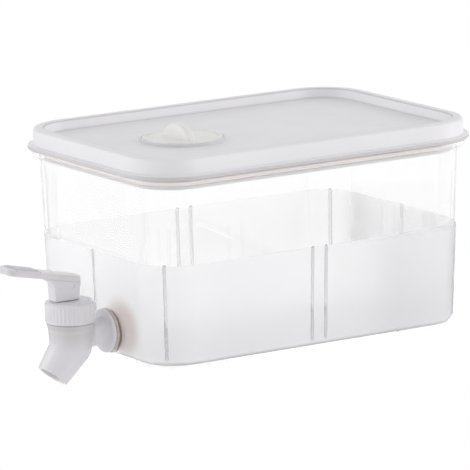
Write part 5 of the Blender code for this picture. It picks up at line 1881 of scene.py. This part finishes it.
    def lever_shade(self, mesh: bpy.types.Mesh) -> np.ndarray:
        """How much painted shade each vertex takes: its sides a little, except a thin strip at their top that stays
        lighter as a painted edge highlight, and the furrows between its ridges more.

        Args:
            mesh: the lever in its own frame, with its pin at zero.

        Returns:
            One value for each vertex.
        """
        x, _, z = vectors(mesh).T
        sin, cos = math.sin(self.tilt), math.cos(self.tilt)
        along = x * cos - (z - self.rise) * sin
        above = x * sin + (z - self.rise) * cos
        phase = (along + self.reach - self.ridge_start) / self.pitch
        furrow = (0.5 + 0.5 * np.cos(phase * TURN)) * ((phase > -0.5) & (phase < self.ridges + 0.5))
        steep = np.clip(1.4 - np.abs(vectors(mesh, "normal")[:, 2]) * 2, 0, 1)
        on_paddle = np.where(above > -self.thickness - 0.0004, 1.0, 0.3)
        side = self.side_shade * steep * ramp(-above, 0.0005, 0.0008) * on_paddle
        return np.maximum(side, self.furrow_shade * furrow * (above > -0.0013))

    def build(self) -> None:
        """Makes the lever and its pin."""
        slot = block("slot", Vector((self.slot[0], -self.slot_width / 2, -self.heel - 0.003)),
                     Vector((self.slot[1], self.slot_width / 2, self.slot_top)))
        hole = rod("pin_hole", self.pin_radius + self.pin_gap, (-0.008, 0.008), (0, 0, 0), Axis.ACROSS, steps=48)
        whole = combined(self.neck(), (self.plate(), Cut.ADD), (slot, Cut.REMOVE))
        mesh = combined(melted(whole, self.voxel, self.melting), (hole, Cut.REMOVE))
        # painted shade on the sides and in the furrows, carried as groove values
        paint(mesh, "groove", self.lever_shade(mesh))
        mesh.transform(Matrix.Translation(self.place.pin_point()))
        show("tap_lever", mesh, self.finish, Body.LEVER, Slot.TAP, "lever")
        half = self.neck_width / 2 - self.pin_gap
        pin = rod("pin", self.pin_radius, (-half, half), self.place.pin_point(), Axis.ACROSS,
                  (self.pin_edge, self.pin_edge), 48)
        show("lever_pin", pin, self.finish, Body.LEVER, Slot.TAP, "hinge_pin")


# The studio


def direction(azimuth: float, elevation: float) -> Vector:
    """The way to a point round the jug: its azimuth grows anticlockwise from -Y, both angles in radians."""
    level = math.cos(elevation)
    return Vector((math.sin(azimuth) * level, -math.cos(azimuth) * level, math.sin(elevation)))


@dataclass(frozen=True)
class StudioCamera:
    """The photograph's camera: where it stands round the jug, how it is rolled and how long its lens is."""

    azimuth: float = math.radians(-32.967)
    elevation: float = math.radians(11.543)
    roll: float = math.radians(-1.061)
    distance: float = 2.9743
    aim: tuple[float, float, float] = (0.0, 0.0, 0.0615)
    shift: tuple[float, float] = (-0.009131, -0.005982)
    pixels_per_metre: float = 1661.0
    image: int = 470
    sensor: float = 36.0

    def place(self) -> None:
        """Makes the camera and gives it to the scene."""
        back = direction(self.azimuth, self.elevation)
        level = Vector((math.cos(self.azimuth), math.sin(self.azimuth), 0))
        above = back.cross(level)
        sin, cos = math.sin(self.roll), math.cos(self.roll)
        right, up = level * cos + above * sin, above * cos - level * sin
        spot = Vector(self.aim) + back * self.distance + right * self.shift[0] + up * self.shift[1]
        lens = bpy.data.cameras.new("studio_camera")
        lens.sensor_width = self.sensor
        lens.lens = self.pixels_per_metre * self.distance * self.sensor / self.image
        lens.clip_start = 0.1
        lens.clip_end = 50
        camera = put("studio_camera", lens)
        camera.matrix_world = Matrix.Translation(spot) @ Matrix((right, up, back)).transposed().to_4x4()
        bpy.context.scene.camera = camera


@dataclass(frozen=True)
class Softbox:
    """A square lamp that looks at the jug."""

    name: str
    azimuth: float
    elevation: float
    size: float
    power: float
    colour: Colour
    distance: float = 1.7
    aim: tuple[float, float, float] = (-0.02, 0.0, 0.06)

    def place(self) -> None:
        """Makes the lamp, which clear and frosted plastic don't show."""
        back = direction(math.radians(self.azimuth), math.radians(self.elevation))
        lamp = bpy.data.lights.new(self.name, "AREA")
        lamp.shape = "SQUARE"
        lamp.size = self.size
        lamp.energy = self.power
        lamp.color = self.colour
        obj = put(self.name, lamp)
        obj.visible_transmission = False
        obj.location = Vector(self.aim) + back * self.distance
        obj.rotation_euler = back.to_track_quat("Z", "Y").to_euler()


@dataclass(frozen=True)
class Studio:
    """A white shelf in a white surround, with soft grey cards that only gloss and clear plastic show."""

    feet: float = -0.0035
    shelf_edge: float = -0.112
    shelf_size: float = 2.4
    shelf_corner: float = 0.08
    shelf_thickness: float = 0.02
    shelf_colours: tuple[Colour, Colour] = ((0.80,) * 3, (0.78,) * 3)
    floor_glow: float = 0.61
    plain_from: tuple[float, float] = (0.14, 0.26)
    sky: tuple[float, float, float] = (0.68, 1.18, 0.50)
    camera_side: float = 0.80
    card_level: float = 0.35
    card_azimuths: tuple[float, ...] = (20.0, 92.0)
    card_half_width: float = 11.0
    camera_azimuth: float = 237.0
    camera_half_width: float = 42.0
    lamps: tuple[Softbox, ...] = (
        Softbox("left_lamp", -122, 16, 1.1, 5.5, (0.985, 0.985, 1.0)),
        Softbox("right_lamp", 54, 12, 1.0, 8.0, (1.0, 0.995, 0.985)),
    )

    def shelf_paint(self) -> bpy.types.Material:
        """The shelf's paint: it glows a little where it is seen, and is plain white further away.

        Returns:
            The material.
        """
        material = bpy.data.materials.new("white_shelf")
        sheet = Sheet(material)
        grain = sheet.noise(0.02, 3)
        dull = sheet.shader("BsdfPrincipled", {
            "Base Color": sheet.blend(grain, *self.shelf_colours),
            "Roughness": 0.7,
            "Normal": sheet.bump(grain, 0.0001, 0.2),
        })
        glow = sheet.shader("Emission", {"Color": WHITE, "Strength": self.floor_glow})
        near = sheet.shader("AddShader", {0: dull, 1: glow})
        length = sheet.value("VectorMath", "Value", {0: sheet.place((1.0, 1.3, 1.0))}, operation="LENGTH")
        plain = sheet.shader("Emission", {"Color": WHITE, "Strength": 1.0})
        shown = sheet.mixed(length.above(*self.plain_from), near, plain)
        seen = sheet.ray("Camera").math("MAXIMUM", self.mirrored(sheet))
        sheet.finish(sheet.mixed(seen, dull, shown))
        return material

    def shelf(self) -> None:
        """Makes the shelf, whose edge stops short of the tap, so that the spout hangs past it."""
        half, low = self.shelf_size / 2, self.feet - self.shelf_thickness
        outline = RoundedRectangle(half, half, self.shelf_corner, step=0.4, turn_step=math.radians(15))
        inner, under = self.shelf_corner / 2, self.shelf_thickness * 1.5
        profile = filleted([(inner, self.feet, 0), (0, self.feet, 0.0002), (under, low, 0.001), (inner, low, 0)], 4)
        mesh = skin("shelf_mesh", outline.carry(profile) + (self.shelf_edge + half, 0, 0), sharp=15)
        mesh.materials.append(self.shelf_paint())
        shelf = put("shelf", mesh)

    @staticmethod
    def mirrored(sheet: Sheet) -> Value:
        """1 for rays that a glossy or a clear surface sends on."""
        return sheet.ray("Glossy").math("MAXIMUM", sheet.ray("Transmission"))

    @staticmethod
    def lobe(turn: Value, azimuth: float, full: float, end: float) -> Value:
        """1 near an azimuth, falling from a full to an end distance from it, in degrees."""
        return 1 - abs((turn - azimuth).math("WRAP", 180, -180)).above(full, end)

    def surround(self) -> None:
        """Makes the world: white to the camera, grey in places for what lights, mirrors and shines through."""
        world = bpy.data.worlds.new("studio_surround")
        bpy.context.scene.world = world
        sheet = Sheet(world)
        split = sheet.node("SeparateXYZ", {"Vector": sheet.node("TexCoord")["Generated"]})
        x, y, z = (Value(sheet, split[axis]) for axis in "XYZ")
        turn = y.math("ARCTAN2", x) * (180 / math.pi)
        width = self.card_half_width
        cards = sum(self.lobe(turn, azimuth, width * 0.5, width * 1.5) for azimuth in self.card_azimuths)
        cards = cards * (1 - abs(z - 0.1).above(0.45, 0.7))
        below, level, above = ((grey,) * 3 for grey in self.sky)
        fill = sheet.blend(z.above(0.05, 0.9), sheet.blend(z.above(-0.45, 0.05), below, level), above)
        width = self.camera_half_width
        gloom = self.lobe(turn, self.camera_azimuth, width * 0.4, width * 1.4) * (1 - z.above(0.3, 0.8))
        fill = sheet.blend(gloom, fill, (self.camera_side,) * 3)
        shown = sheet.blend(cards, WHITE, (self.card_level,) * 3)
        shown = sheet.blend(gloom, shown, (self.camera_side * 0.6,) * 3)
        colour = sheet.blend(sheet.ray("Camera"), sheet.blend(self.mirrored(sheet), fill, shown), WHITE)
        sheet.finish(sheet.shader("Background", {"Color": colour, "Strength": 1.0}), "OutputWorld")

    def build(self) -> None:
        """Makes the world, the shelf, the lamps and the camera."""
        self.surround()
        self.shelf()
        for lamp in self.lamps:
            lamp.place()
        StudioCamera().place()
        bpy.context.scene.view_settings.view_transform = "Standard"


def main() -> None:
    """Builds the jug piece by piece, then the studio."""
    logging.basicConfig(level=logging.INFO, format="%(name)s: %(message)s")
    outline = JugOutline()
    place = TapPlace()
    tap_plastic = MouldedPlastic("tap_plastic", (0.79, 0.775, 0.81), (0.74, 0.725, 0.76), roughness=0.3,
                                 cloud_size=0.02, coat=0.15, translucency=0.08)
    tap = [part(place, tap_plastic) for part in (TapMoulding, CollarNut, Valve, WallFixing, Lever)]
    for assembly in (Tub(outline, place), Lid(outline), FillingCap(), *tap):
        assembly.build()
        log.info("%s is built", type(assembly).__name__)
    Studio().build()


if __name__ == "__main__":
    main()
